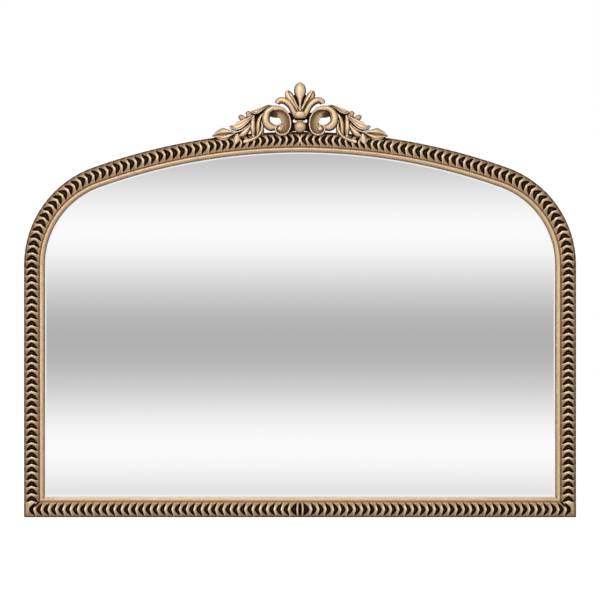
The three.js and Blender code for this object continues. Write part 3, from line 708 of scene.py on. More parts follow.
# A painted highlight lies along a ridge's rear edge, where it catches the light: widely at the middle and narrowly
# out to the tips.
SHEEN_WIDE = 4.4
SHEEN_NARROW = 1.5
RIDGE_SHEEN = 0.62
OUTER_FLANK_SHEEN = 0.50
RIDGE_WASH = 0.10
PLAIN_FILM = 0.42
LONG_PLAIN_FILM = 0.24
LONG_PLAIN = (9, 16)

# Beyond the hollows' tips the band's flanks are darkened by a share. On the inner flank the share
# follows how each strip faces the light: painted shade where it is above none, and painted light
# with a painted highlight where it is below none.
FLANK = (0.75, 1.2)
OUTER_FLANK_DARKENING = 0.30
BACK_WASH = 0.6

# Before any strip's start, for the ridge that leads up to its first hollow.
BEFORE_START = -20.0

# The hollows lie about a line a little inward of the band's own middle.
HOLLOW_LINE = HUSK_MIDDLE + 1.0
COLUMN_OFFSETS = (0, 1.1, 2.5, 4.2, 6.0, 7.8, 9.4, 10.7, 11.6, 12.2, 12.6)
OUTER_COLUMNS = (0.0, 0.6, 1.5, 2.8, 4.2)
INNER_COLUMNS = (31.2, 31.9, 32.5, 33.0)
COLUMN_ROOM = 0.2
UNDER_COLUMNS = 9


def hollow_level(step, held):
    """A hollow's depth as a share of its full depth, at shares of its length and its reach."""
    return np.interp(step, HOLLOW_STEPS, HOLLOW_DEPTHS) * (1 - held**5) ** 0.6


def ridge_depth(share):
    """How far the ridge falls below the band's face, from one hollow's front to the next."""
    before = np.clip(1 - share / RIDGE_CREST, 0, 1) ** 1.7
    after = np.clip((share - RIDGE_CREST) / (1 - RIDGE_CREST), 0, 1) ** 2.0
    return FRONT_DROP * before + REAR_DROP * after


def husk_face(hollows, spans, distance, aside, end, flank):
    """Depth of the carving at distances along one column, its washes and painted shade, and its rubbing and
    painted highlights.
    """
    depth = np.zeros_like(distance)
    wash = np.full_like(distance, GROUND_WASH)
    rub = np.zeros_like(distance)
    held = min(aside, 1.0)
    sheen_spread = 1 - 0.75 * smooth(0.1, 0.95, aside)
    on_flank = smooth(*FLANK, aside)
    # Painted highlight on an inner flank painted lighter.
    lit = max(0.0, -1.5 * flank) * on_flank
    edges = [(BEFORE_START, spans[0][0])]
    for index, (hollow, (rear, front)) in enumerate(zip(hollows, spans)):
        inside = (distance > rear) & (distance < front)
        step = (distance[inside] - rear) / (front - rear)
        level = hollow_level(step, held)
        lip = REAR_DROP + (FRONT_DROP - REAR_DROP) * step
        depth[inside] = hollow.depth * level + lip
        # Painted highlight along the fold in the hollow's floor.
        fold = np.exp(-(((step - FOLD_STEP) / FOLD_WIDTH) ** 2)) * (1 - held) * FOLD_HIGHLIGHT
        wash[inside] = np.maximum(wash[inside], smooth(*HOLLOW_WASH, level)) - fold
        after = spans[index + 1][0] if index + 1 < len(spans) else end + hollow.length
        edges.append((front, after))
    for front, rear in edges:
        ridge = (distance >= front) & (distance <= rear)
        to_rear = rear - distance[ridge]
        share = (distance[ridge] - front) / max(rear - front, 0.1)
        depth[ridge] = ridge_depth(share)
        # Painted highlight along the ridge's rear edge, where it catches the light, with less of the washes there.
        wide = np.exp(-((to_rear / SHEEN_WIDE) ** 2)) * sheen_spread
        bright = np.maximum(wide, 0.8 * np.exp(-((to_rear / SHEEN_NARROW) ** 2)))
        rubbed_and_sheen = OUTER_FLANK_SHEEN if flank == OUTER_FLANK_DARKENING else RIDGE_SHEEN
        rub[ridge] = np.maximum(rubbed_and_sheen * bright, lit)
        plain = smooth(*LONG_PLAIN, min(rear, end) - max(front, distance[0]))
        film = PLAIN_FILM + (LONG_PLAIN_FILM - PLAIN_FILM) * plain
        wash[ridge] = film + (RIDGE_WASH - film) * bright + flank * on_flank
    return depth, wash, rub


def row_distances(hollows, aside, start, end):
    """Where one column has its points: the same number in every column, held in its range."""
    stops = []
    edge = start
    for hollow in hollows:
        rear = hollow.rear_at(aside)
        front = hollow.front_at(aside)
        stops.append(edge + (rear - edge) * np.asarray(ridge_shares(hollows, hollow)))
        stops.append(rear + (front - rear) * np.asarray(HOLLOW_STEPS))
        edge = front
    stops.append(edge + (end - edge) * np.asarray(ridge_shares(hollows, None)))
    distance = np.concatenate([[start], *stops, [end]])
    return np.clip(np.maximum.accumulate(np.clip(distance, start, end)), start, end)


def ridge_shares(hollows, hollow):
    """Steps between two hollows, or finer ones over the plain stretch before the first."""
    if hollow is hollows[0]:
        stretch = max(hollow.front - hollow.length, 2.0)
        count = max(int(stretch / LONG_STEP), 2)
        return np.linspace(0, 1, count + 1)[1:-1]
    return RIDGE_STEPS


def column_insets(reach):
    """Where a strip has its columns: spread over its hollows, and on the flanks beside them."""
    wide = reach / COLUMN_OFFSETS[-1]
    middle = [HOLLOW_LINE - offset * wide for offset in reversed(COLUMN_OFFSETS[1:])]
    middle += [HOLLOW_LINE + offset * wide for offset in COLUMN_OFFSETS]
    outer = [inset for inset in OUTER_COLUMNS if inset < middle[0] - COLUMN_ROOM]
    inner = [inset for inset in INNER_COLUMNS if inset > middle[-1] + COLUMN_ROOM]
    return outer + middle + inner


def edge_darkening(inset):
    """Darker along the band's outer edge and, less, along its inner edge."""
    return 0.28 * (1 - smooth(0.4, 3.4, inset)) + 0.12 * smooth(31.8, 33, inset)


def husk_strip(name, strip):
    """One strip of the band, left side: a closed shell over the timber's core."""
    hollows = strip["hollows"]
    columns = []
    washes = []
    rubs = []
    for inset in column_insets(strip["reach"]):
        aside = abs(inset - HOLLOW_LINE) / strip["reach"]
        start, end = strip["range"](inset)
        held = min(aside, 1.0)
        distance = row_distances(hollows, held, start, end)
        spans = [(h.rear_at(held), h.front_at(held)) for h in hollows]
        flank = OUTER_FLANK_DARKENING if inset < HOLLOW_LINE else strip["inner_flank_light_and_shade"]
        depth, wash, rub = husk_face(hollows, spans, distance, aside, end, flank)
        # Each strip's own darkening: dark joints, washes and, on the arch, the crest's painted shadow.
        extra, darkening = strip["extra"](distance, inset)
        y = ridge_y(inset) + np.maximum(depth, 0) + extra
        y = np.minimum(y, core_y(inset, 2 * GAP + 0.1))
        columns.append(inset_points(strip["at"](distance), inset, y))
        washes.append(np.maximum(wash + edge_darkening(inset), darkening))
        rubs.append(rub)
    under = np.linspace(HUSK_WIDTH - CORE_MARGIN, CORE_MARGIN, UNDER_COLUMNS)
    backs = [(inset, min(core_y(inset, GAP), BEAD_FOOT_Y)) for inset in under]
    for inset, y in [(HUSK_WIDTH, BEAD_FOOT_Y), *backs, (0.0, BEAD_FOOT_Y)]:
        start, end = strip["range"](inset)
        distance = row_distances(hollows, 1.0, start, end)
        columns.append(inset_points(strip["at"](distance), inset, y))
        washes.append(np.full(len(distance), BACK_WASH))
        rubs.append(np.zeros(len(distance)))
    points = np.stack(columns, axis=1)
    layers = {"wash": np.stack(washes, axis=1), "rub": np.stack(rubs, axis=1)}
    mesh = mesh_from(name, points, grid_faces(*points.shape[:2]), layers)
    shade(mesh, 50.0)
    return mesh


MITRE_NOTCH = (22.5, 25.0)
MITRE_NOTCH_HALF = 2.5
MITRE_NOTCH_DEPTH = 4.2
NOTCH_WASH = (0.4, 1.6)


def mitre_notch(beyond_mitre, inset):
    """Depth of the dark notch on the inner half of the mitre, at distances along a strip."""
    shape = np.clip(1 - np.abs(beyond_mitre / math.sqrt(2)) / MITRE_NOTCH_HALF, 0, 1)
    return MITRE_NOTCH_DEPTH * shape * smooth(*MITRE_NOTCH, inset)


# Runs of hollows: where the first and the last have their fronts, and how many they are.
BOTTOM_RUN = (20.1, 588.2, 37)
STILE_RUN = (47.2, 538.6, 32)
ARCH_START = 6.2
ARCH_HOLLOWS = 32
CREST_REACH = 187.0
BEFORE_CREST = 15.6
UNDER_CREST_HOLLOWS = 14
MIDDLE_ROOM = 2.6
OUT_OF_TRUE = 0.2

# The bottom's hollows reach farther, and the ridges there are wider; under the crest narrower.
BOTTOM_STRETCH = 1.12
BOTTOM_RIDGE_MORE = 0.9
CREST_RIDGE_LESS = 0.7
# Painted shadow of the crest, with some dirt, on the arch's outer flank under it.
CREST_SHADOW_AND_DIRT = 0.86


def husk_strips(sizes):
    """The three strips of the left side: bottom, stile and arch."""
    ridge = sizes.ridge / MM
    lags = (sizes.front_lag / MM, sizes.rear_lag / MM)
    depth = sizes.depth / MM
    reach = sizes.reach / MM
    jitter = np.random.default_rng(7)

    def run(first, last, count, plain=ridge):
        """Hollows with evenly spaced fronts, each very slightly out of true."""
        fronts = np.linspace(first, last, count)
        length = (last - first) / (count - 1) - plain
        wobble = jitter.uniform(-OUT_OF_TRUE, OUT_OF_TRUE, (count, 2))
        return [
            Hollow(front + shift, length + more, *lags, depth)
            for front, (shift, more) in zip(fronts, wobble)
        ]

    # The bottom strip starts with half an oval, and its last hollow crosses the mitre.
    bottom = [Lens(4.0, 8.0, 0, 0, depth), *run(*BOTTOM_RUN, ridge + BOTTOM_RIDGE_MORE)]
    bottom[1].length = 12.6
    bottom[1].rear_lag = 0.8
    last = bottom[-1]

    # The stile's hollows start above the corner. The arch's run on to the crest, and under it
    # they are closer, up to the middle.
    stile = run(*STILE_RUN)
    haunch_line = HAUNCH_RADIUS - HUSK_MIDDLE
    crown_line = CROWN_RADIUS - HUSK_MIDDLE
    haunch_length = HAUNCH_SWEEP * haunch_line
    arch_length = haunch_length + CROWN_HALF_ANGLE * crown_line
    crest_start = arch_length - CREST_REACH
    under_crest = (crest_start, arch_length - MIDDLE_ROOM, UNDER_CREST_HOLLOWS)
    arch = run(ARCH_START, crest_start - BEFORE_CREST, ARCH_HOLLOWS)
    arch += run(*under_crest, ridge - CREST_RIDGE_LESS)
    # The hollow at the springing crosses the joint, so both strips have it.
    stile.append(Hollow(SPRINGING + arch[0].front, arch[0].length, *lags, depth))
    # One more lies beyond the middle: only the start of its rear edge shows.
    arch.append(Hollow(arch_length + 11.0, 9.2, *lags, depth))

    def along_bottom(distance):
        ones = np.ones_like(distance)
        return np.column_stack([-distance, 0 * ones, 0 * ones, ones])

    def along_stile(distance):
        ones = np.ones_like(distance)
        return np.column_stack([-HALF_WIDTH * ones, distance, ones, 0 * ones])

    def along_arch(distance):
        low = haunch_stations(distance / haunch_line)
        high = crown_stations((distance - haunch_length) / crown_line - CROWN_HALF_ANGLE)
        return np.where((distance < haunch_length)[:, None], low, high)

    def bottom_extra(distance, inset):
        notch = mitre_notch(HALF_WIDTH - inset - distance, inset)
        return notch, smooth(*NOTCH_WASH, notch)

    def stile_extra(distance, inset):
        """The mitre's notch, and the part of the bottom's last hollow beyond the mitre."""
        notch = mitre_notch(distance - inset, inset)
        held = np.clip(np.abs(distance - HOLLOW_LINE) / (reach * BOTTOM_STRETCH), 0, 1)
        rear, front = last.rear_at(held), last.front_at(held)
        level = hollow_level(np.clip((HALF_WIDTH - inset - rear) / (front - rear), 0, 1), held)
        darkening = np.maximum(smooth(*NOTCH_WASH, notch), smooth(*HOLLOW_WASH, level))
        return notch + depth * level, darkening

    def arch_extra(distance, inset):
        """The crest's shadow, painted dark together with some dirt, on the outer flank where the crest stands on
        it.
        """
        under = smooth(crest_start - 22, crest_start, distance)
        return 0 * distance, CREST_SHADOW_AND_DIRT * under * (1 - smooth(4.8, 7.6, inset))

    # Each strip's inner flank is painted lighter or darker for the light on it: lighter on the bottom, which faces
    # up, and on the arch, darker on the stiles.
    return {
        "husk_band_bottom": {
            "at": along_bottom, "hollows": bottom, "reach": reach * BOTTOM_STRETCH,
            "extra": bottom_extra, "inner_flank_light_and_shade": -0.40,
            "range": lambda inset: (0.02, HALF_WIDTH - inset),
        },
        "husk_band_stile": {
            "at": along_stile, "hollows": stile, "reach": reach,
            "extra": stile_extra, "inner_flank_light_and_shade": 0.10,
            "range": lambda inset: (inset, SPRINGING),
        },
        "husk_band_arch": {
            "at": along_arch, "hollows": arch, "reach": reach,
            "extra": arch_extra, "inner_flank_light_and_shade": -0.10,
            "range": lambda inset: (0.0, arch_length - 0.02),
        },
    }


# ---------------------------------------------------------------- plain mouldings


def sweep(name, stations, section, values=None):
    """A closed section of (inset, y) points carried along stations."""
    insets = np.array([point[0] for point in section])
    ys = np.array([point[1] for point in section])
    points = inset_points(stations[:, None, :], insets[None, :], ys[None, :])
    shape = points.shape[:2]
    layers = {key: np.broadcast_to(numbers, shape) for key, numbers in (values or {}).items()}
    return mesh_from(name, points, grid_faces(*shape), layers)


def arc(centre, radius, first, last, count):
    """Points of an arc in a section; angles in degrees, 0 inward and 90 to the front."""
    angles = np.radians(np.linspace(first, last, count))
    return [(centre[0] + radius * math.cos(a), centre[1] - radius * math.sin(a)) for a in angles]


def timber_section(sight):
    """The timber's section, with eased edges; `sight` is where its lip ends over the glass."""
    ease = 0.8
    lip_front = SEAT_Y + LIP_THICKNESS - SIGHT_EDGE
    lip_back = SEAT_Y + LIP_THICKNESS
    core = np.linspace(CORE_MARGIN, HUSK_WIDTH - CORE_MARGIN, 13)
    return [
        *arc((ease, BACK_Y - ease), ease, 270, 180, 4),
        (0, SEAT_Y),
        *zip(core, core_y(core, 0.0)),
        (HUSK_WIDTH + 0.5, SEAT_Y),
        (LIP_INSET, SEAT_Y),
        (sight - 1.6, lip_front - 0.8),
        (sight - 1.2, lip_front - 0.4),
        (sight - 0.4, lip_front + 0.6),
        (sight, lip_front + 1.4),
        (sight, lip_back),
        (REBATE_INSET, lip_back),
        *arc((REBATE_INSET - ease, BACK_Y - ease), ease, 0, -90, 4),
    ]


# The darkening of the timber: washes on its face and in the quirk beside the bead, and painted shade
# inside the sight edge for the lip's shadow and its reflection in the glass. The bottom rail, lit from
# above, keeps only a share of it, as painted light, and its lip, which faces up, gets a painted highlight.
FACE_WASH = 0.30
QUIRK_WASH = 0.5
SIGHT_SHADE = 0.80
SIGHT_BAND = 0.9
BOTTOM_LIT_SHARE = 0.25
BOTTOM_LIP_LIT_WASH = 0.16
BOTTOM_LIP_SHEEN = 0.25


def timber_wash_and_shade(inset, y, sight):
    """How dark the timber is at a point of its section: washes, and painted shade inside the sight edge."""
    if inset > sight - SIGHT_BAND and y > SEAT_Y + 5:
        return SIGHT_SHADE
    quirk = abs(inset - HUSK_WIDTH - 0.5) < 0.1
    return QUIRK_WASH if quirk else FACE_WASH


def timber_runs():
    """Stations of each length of timber, left side and middle, mitred and butted."""
    left = -HALF_WIDTH
    corner = (left, 0.0, 1.0, 1.0)
    haunch = np.linspace(0, HAUNCH_SWEEP, 49)
    crown = np.linspace(-CROWN_HALF_ANGLE, CROWN_HALF_ANGLE, 81)
    return {
        "bottom": np.array([corner, (-corner[0], 0.0, -1.0, 1.0)]),
        "stile": np.array([corner, (left, SPRINGING, 1.0, 0.0)]),
        "haunch": haunch_stations(haunch),
        "crown": crown_stations(crown),
        "arch": np.vstack([
            haunch_stations(haunch), crown_stations(crown)[1:-1],
            other_side(haunch_stations(haunch))[::-1],
        ]),
    }


def bead_section():
    """A round bead a little flattened on top, standing on the seat."""
    radius = BEAD_WIDTH / 2
    round_top = arc((BEAD_INSET + radius, BEAD_FOOT_Y - radius), radius, 180, 0, 13)
    return [(BEAD_INSET, BEAD_FOOT_Y), *round_top, (LIP_INSET, BEAD_FOOT_Y)]


# ---------------------------------------------------------------- the crest


def both_halves(*half):
    """A section that is the same on both sides of its middle, from its right half."""
    return (*((-place, share) for place, share in reversed(half) if place), *half)


# Sections of a carved leaf: how far forward it stands at shares of its half-width.
SECTIONS = {
    "round": both_halves((0, 1), (0.4, 0.96), (0.75, 0.83), (0.93, 0.64), (1, 0.42)),
    "groove": both_halves(
        (0.06, 0.68), (0.2, 0.86), (0.45, 0.96), (0.72, 0.88), (0.93, 0.68), (1, 0.48),
    ),
    "keel": both_halves((0, 1), (0.2, 0.86), (0.6, 0.76), (0.93, 0.64), (1, 0.46)),
    "rim": (
        (-1, 0.42), (-0.5, 0.86), (0, 1), (0.09, 0.97), (0.2, 0.76), (0.5, 0.72), (0.8, 0.80),
        (0.93, 0.70), (1, 0.48),
    ),
    "floor": (
        (-1, 0.66), (0, 0.66), (0.07, 0.50), (0.16, 0.45), (0.35, 0.47), (0.6, 0.50), (0.82, 0.50),
        (0.93, 0.56), (1, 0.48),
    ),
    "petal": (
        (-1, 0.62), (-0.92, 0.78), (-0.6, 0.93), (-0.2, 1), (0.02, 0.94), (0.2, 0.70), (0.45, 0.64),
        (0.75, 0.56), (1, 0.44),
    ),
    "ground": ((-1, 1), (1, 1)),
}


def section_curve(name, columns):
    """A section's forward shares at evenly spread places across it."""
    across = np.linspace(-1, 1, columns)
    places, shares = np.array(SECTIONS[name]).T
    return across, np.interp(across, places, shares)


BAND_CLEARANCE = 0.7


def carving_back(x, z):
    """The crest's flat back, which comes forward where it hangs in front of the band."""
    inset = CROWN_RADIUS - np.hypot(x, z - CROWN_CENTRE)
    face = ridge_y(np.clip(inset, 0, HUSK_WIDTH)) - BAND_CLEARANCE
    return np.where(inset > -0.4, np.minimum(face, CREST_BACK_Y), CREST_BACK_Y)


LEAF_ROWS = 7
LEAF_COLUMNS = 25
THINNEST_LEAF = 0.25


class Leaf:
    """A carved leaf, petal or stem. Its line has (x, height above the arch, left and right
    half-widths) points, left and right of the way along it; one half-width stands for both.
    `ends` gives its thickness at the start and the end as shares of `depth`, and `over_band`
    is the least it stands out from its back."""

    def __init__(self, section, depth, ends, *line, over_band=3.0):
        self.line = [(*point, point[-1]) if len(point) == 3 else point for point in line]
        self.section = section
        self.depth = depth
        self.ends = ends
        self.over_band = over_band

    def other_side(self):
        line = [(-x, height, right, left) for x, height, left, right in self.line]
        return Leaf(self.section, self.depth, self.ends, *line, over_band=self.over_band)

    def mesh(self):
        """Points and faces of the closed leaf, its back flat on the crest's back."""
        rows = (len(self.line) - 1) * LEAF_ROWS + 1
        x, height, left, right = np.array(self.line, float).T
        spine = catmull_rom(np.column_stack([x, arch_top(x) + height]), rows)
        widths = np.maximum(catmull_rom(np.column_stack([left, right]), rows), THINNEST_LEAF)
        along = np.gradient(spine, axis=0)
        along /= np.linalg.norm(along, axis=1)[:, None]
        across, forward = section_curve(self.section, LEAF_COLUMNS)
        t = np.linspace(0, 1, rows)
        first, last = self.ends
        swell = first + (1 - first) * smooth(0, 0.35, t) - (1 - last) * smooth(0.55, 1, t)
        inset = np.where(across < 0, widths[:, :1], widths[:, 1:]) * across
        px = spine[:, :1] + along[:, 1:] * inset
        pz = spine[:, 1:] - along[:, :1] * inset
        py = CREST_BACK_Y - forward * (self.depth * swell)[:, None]
        back_y = carving_back(px, pz)
        front = np.stack([px, np.minimum(py, back_y - self.over_band * forward), pz], axis=-1)
        back = np.stack([px, back_y, pz], axis=-1)
        ring = np.concatenate([front, back[:, ::-1]], axis=1)
        return ring, grid_faces(*ring.shape[:2])


# The radius of a turned shape where it meets its axis: too small to see, and never a point.
ON_AXIS = 0.01


def lathe(profile, centre, axis, sides=48):
    """Points and faces of a turned shape: (radius, distance along the axis) profile."""
    angles = np.linspace(0, 2 * math.pi, sides, endpoint=False)
    rings = []
    for radius, along in profile:
        ring = np.zeros((sides, 3))
        first, second = [k for k in range(3) if k != axis]
        ring[:, first] = centre[first] + radius * np.cos(angles)
        ring[:, second] = centre[second] + radius * np.sin(angles)
        ring[:, axis] = centre[axis] + along
        rings.append(ring)
    return np.array(rings), grid_faces(len(rings), sides)


def ball_shape(x, z, y, radius, squash=1.0):
    """A ball, flattened front to back by `squash`."""
    profile = [
        (max(radius * math.sin(a), ON_AXIS), -radius * squash * math.cos(a))
        for a in np.linspace(0, math.pi, 25)
    ]
    return lathe(profile, (x, y, z), 1)


SCROLL_DEPTH = 27.6
LEAF_DEPTH = 24.0
PALMETTE_DEPTH = 23.5

# The scroll's outer edge, from the top round the bottom and over the eye, with the width of the
# hollowed floor inside it.
SCROLL_EDGE = (
    (-67.5, 38.5, 3), (-62.8, 44.8, 9), (-54.5, 48.4, 14.5), (-44.5, 48.9, 17), (-34.8, 45.6, 18.5),
    (-26.8, 38.2, 19.5), (-22.0, 27.7, 20), (-20.6, 16.8, 19), (-22.2, 6, 15), (-27, -2.2, 11),
    (-35.9, -6.9, 9.5), (-44.9, -6.0, 8), (-51.0, -1.0, 6),
)
SPIRAL = (
    (-53.2, 5.5, 2.0), (-51.5, 11.6, 2.1), (-46.5, 14.8, 2.1), (-40.5, 13.6, 1.8),
    (-37.2, 9.4, 1.4),
)
SCROLL = [
    Leaf(
        "floor", SCROLL_DEPTH, (1, 0.95),
        *[(x, height, 0.8, width) for x, height, width in SCROLL_EDGE],
    ),
    Leaf(
        "round", SCROLL_DEPTH, (0.9, 0.9),
        *[(x, height, 1.5 + 0.6 * k / 12) for k, (x, height, _) in enumerate(SCROLL_EDGE)],
        *SPIRAL,
    ),
    Leaf(
        "round", SCROLL_DEPTH, (0.8, 0.75),
        (-27, 41.4, 1.2), (-33.6, 48.2, 2.4), (-42.4, 51.8, 3.6), (-52, 52.8, 4.8),
        (-61.5, 50.8, 6.6), (-69.5, 44.5, 8.6), (-74.2, 35, 9.0), (-74.4, 25.5, 8.9, 8.8),
        (-71.2, 17, 9.6, 8.7), (-65, 11.3, 10.2, 8.2), (-59.0, 9.6, 8.8, 6.4),
        (-54.5, 10.2, 7.0, 4.6), (-50.5, 11.4, 4.6, 3.0),
    ),
]


def scroll_rim():
    """Points (x, z) along the scroll's edge and its spiral."""
    line = [(x, arch_top(x) + height) for x, height, _ in SCROLL_EDGE[2:] + SPIRAL]
    return catmull_rom(line, 160)


# The ball at the spiral's end: (x, height), its radius, and the stem that it stands on.
EYE = (-43.6, 6.6)
EYE_RADIUS = 7.0
EYE_FORWARD = 15.5
EYE_BULGE = 1.25
STEM_RADIUS = 8.6
STEM_DEPTH = 17.0


def eye_shapes():
    """The eye and its stem."""
    x, z = EYE[0], float(arch_top(EYE[0])) + EYE[1]
    stem = [(ON_AXIS, 0), (STEM_RADIUS, 0), (STEM_RADIUS, STEM_DEPTH), (ON_AXIS, STEM_DEPTH)]
    return [
        ball_shape(x, z, CREST_BACK_Y - EYE_FORWARD, EYE_RADIUS, EYE_BULGE),
        lathe(stem, (x, CREST_BACK_Y - STEM_DEPTH, z), 1),
    ]


GROUND_DEPTH = 7.0


def ground(*line):
    """A low flat backing that ties leaves together behind; being low, it is darkened nearly black, partly washes
    and partly painted shade between the leaves.
    """
    return Leaf("ground", GROUND_DEPTH, (1, 1), *line, over_band=1.6)


# What fills the gaps between a scroll, the cup and the ball, and round the eye: low backing, darkened there with
# painted shade.
SCROLL_GROUND = [
    ground(
        (-22, -4, 2.6), (-19.6, 4, 3.6), (-18.6, 12, 3.4), (-18.6, 22, 3.4), (-19.2, 32, 3.8),
        (-22.4, 39, 2.8), (-24.5, 42, 1.4),
    ),
    Leaf("ground", 3.6, (1, 1), (-15.0, 1.2, 4.8), (-15.4, 10.5, 5.2), (-15.0, 20.6, 5.0)),
    ground((-15.4, 26.5, 3.1), (-16.6, 32, 3.2), (-18.6, 37, 2.2)),
    ground((-50.5, 13.2, 3.0), (-44, 14.6, 3.4), (-36, 15.0, 4.6)),
    ground((-52.5, 5, 5), (-43, 6, 9.5), (-34, 5, 6)),
    Leaf("ground", 11.8, (1, 1), (-67, 40, 4), (-59, 39.5, 6.8), (-50, 39, 7.4), (-41, 39, 6)),
]


UPPER_LEAF = Leaf(
    "rim", LEAF_DEPTH, (0.9, 0.75),
    (-60, 57, 0.5, 1.5), (-68.5, 56.5, 1.5, 4), (-81, 48.5, 1.8, 8.5), (-90, 43, 1.8, 10.5),
    (-98.0, 41.5, 1.8, 10.8), (-103.5, 44.0, 1.5, 9.0), (-106.5, 47.5, 1.0, 6.0),
)
LONG_LEAF = Leaf(
    "rim", LEAF_DEPTH * 0.95, (0.85, 0.7),
    (-100, 36.5, 1, 1.5), (-107, 31, 1.6, 6.5), (-115, 22.5, 1.8, 13), (-124.5, 14.5, 1.8, 16.5),
    (-134, 11.0, 1.8, 16.5), (-143.5, 12, 1.8, 12.5), (-149.5, 15.5, 1.6, 10.5),
    (-153, 21, 1.2, 6.5),
)
ACANTHUS = [
    UPPER_LEAF,
    LONG_LEAF,
    Leaf(
        "keel", LEAF_DEPTH * 0.74, (0.9, 0.75),
        (-100.5, 31, 4), (-106.5, 38, 6.0), (-112.0, 43.5, 6.5), (-116.0, 48.5, 3.5),
    ),
    Leaf(
        "keel", LEAF_DEPTH * 0.68, (0.9, 0.75),
        (-116, 26, 4), (-122, 32.5, 6.0), (-128, 37.5, 6.0), (-132.5, 42.0, 3.0),
    ),
    Leaf(
        "round", LEAF_DEPTH, (0.8, 0.7),
        (-100, 38.5, 2.4), (-102, 27, 5.6), (-102.6, 13.5, 6.4), (-101.8, 2, 5.4),
        (-102.0, -7.0, 2.8),
    ),
    Leaf(
        "round", LEAF_DEPTH * 0.96, (0.9, 0.8),
        (-79.5, 41.5, 1.4), (-85, 35, 3.2, 4.0), (-88.8, 24.5, 4.0, 6.2), (-90.4, 13, 4.0, 6.2),
        (-91.2, 2, 3.4, 5.0), (-93.5, -4.5, 1.8),
    ),
    Leaf(
        "round", LEAF_DEPTH * 0.98, (0.75, 0.7),
        (-82.5, 19, 2.0), (-83, 10, 3.6), (-85, 1.0, 4.0), (-90.5, -6.2, 3.8),
        (-99.5, -11.6, 3.6), (-112, -14.9, 3.6), (-119, -16.5, 3.8), (-122.5, -17.5, 2.4),
    ),
    Leaf(
        "round", LEAF_DEPTH * 0.8, (0.8, 0.8),
        (-83.5, 26, 2.0), (-82.0, 15, 3.2), (-81.0, 5, 3.2), (-82.5, -4, 2.6),
    ),
    ground((-70, 54, 3), (-84, 42, 8), (-95, 30, 12), (-97, 14, 10), (-99, 2, 8)),
    ground((-92, 40, 5), (-108, 32, 9), (-122, 24, 8), (-136, 18, 5)),
    ground((-80, 39, 2), (-84.5, 28, 4), (-85, 15, 4), (-85, 4, 3)),
]

LAUREL = [
    Leaf(
        "groove", LEAF_DEPTH, (0.75, 0.5),
        (-139, 5.0, 2.0, 2.0), (-146, 4.2, 5.5, 5.5), (-154, 4, 9.5, 9.5),
        (-166.5, 3.5, 12.5, 15.0), (-179, 4.5, 8.0, 9.5), (-191, 4.5, 0.8, 0.8),
    ),
    Leaf(
        "round", LEAF_DEPTH * 0.93, (0.7, 0.85),
        (-108.0, 22.5, 1.4), (-117, 14, 2.2), (-127, 8.3, 2.4), (-136.5, 5.5, 2.4),
        (-146, 5.0, 1.6),
    ),
    Leaf(
        "round", LEAF_DEPTH * 1.02, (0.85, 0.9),
        (-107.5, 18, 1.6), (-112.5, 11.5, 5.0), (-118, 5.5, 7.0), (-123, 0.8, 7.2),
        (-128, -2.0, 5.4), (-131.5, -2.5, 2.4),
    ),
    Leaf(
        "round", LEAF_DEPTH * 1.1, (0.95, 0.95),
        (-135.5, 1.0, 4.0), (-136.5, -5.5, 7.6), (-137.5, -12.0, 7.0), (-139.5, -20.5, 1.6),
        over_band=8.0,
    ),
    ground((-108, 20, 2), (-116, 11, 4), (-128, 3, 4), (-142, 3, 5), (-160, 2, 8)),
]


SIDE_PETALS = [
    Leaf(
        "petal", PALMETTE_DEPTH * 0.86, (0.85, 0.85),
        (-3.5, 42, 1.5, 1.5), (-8.5, 54, 4.8, 4.4), (-14, 64, 7.6, 6.6), (-19, 72, 9.4, 7.6),
        (-22.5, 78, 10.2, 8.0), (-25.4, 83.5, 8.6, 6.8), (-27.8, 89.4, 3.6, 3.0),
    ),
    Leaf(
        "round", PALMETTE_DEPTH, (0.9, 0.85),
        (-6, 30, 6.4, 4.5), (-10.5, 38.6, 8.0, 5.8), (-16, 47.5, 7.0, 6.4), (-20.8, 56.0, 6.8),
        (-27.7, 63.4, 7.0), (-35.9, 68.0, 7.0), (-42.5, 68.8, 6.8), (-47.4, 66.0, 6.8),
        (-49.4, 61.9, 5.2),
    ),
]
PALMETTE = [
    Leaf(
        "round", PALMETTE_DEPTH, (0.95, 0.75),
        (0, 38, 3.6), (0, 54, 3.2), (0, 64, 4.6), (0, 72, 7.4), (0, 80, 11.2), (0, 88, 13.0),
        (0, 95, 12.4), (0, 101, 9.8), (0, 105, 6.0), (0, 106.9, 2.4),
    ),
    *SIDE_PETALS,
    *[petal.other_side() for petal in SIDE_PETALS],
    ground(
        (0, 24.5, 11.5), (0, 33, 13.5), (0, 42, 17.0), (0, 52, 20), (0, 62, 23), (0, 70, 22),
        (0, 76, 17), (0, 80.5, 12),
    ),
]

# The row of small beads along each side petal: points (x, height) of its line.
BEAD_LINE = ((-3.5, 49.5), (-8, 58.5), (-12.5, 67.5), (-17.5, 75.5), (-21.5, 82))
BEAD_COUNT = 11
BEAD_RADIUS = 1.7
BEAD_FORWARD = PALMETTE_DEPTH * 0.72

# The cup under the petals and its neck: (radius, height above the arch).
CUP = (
    (ON_AXIS, 22), (6.4, 22), (6.6, 25.5), (7.6, 27.4), (10.6, 29.6), (12.8, 33), (13.4, 37.5),
    (12.2, 42), (ON_AXIS, 45),
)
BALL_HEIGHT = 10.5
BALL_RADIUS = 13.4


def bead_shapes():
    """The beads on both side petals."""
    row = catmull_rom(BEAD_LINE, BEAD_COUNT)
    return [
        ball_shape(side * x, float(arch_top(x)) + height, CREST_BACK_Y - BEAD_FORWARD, BEAD_RADIUS)
        for side in (1, -1)
        for x, height in row
    ]


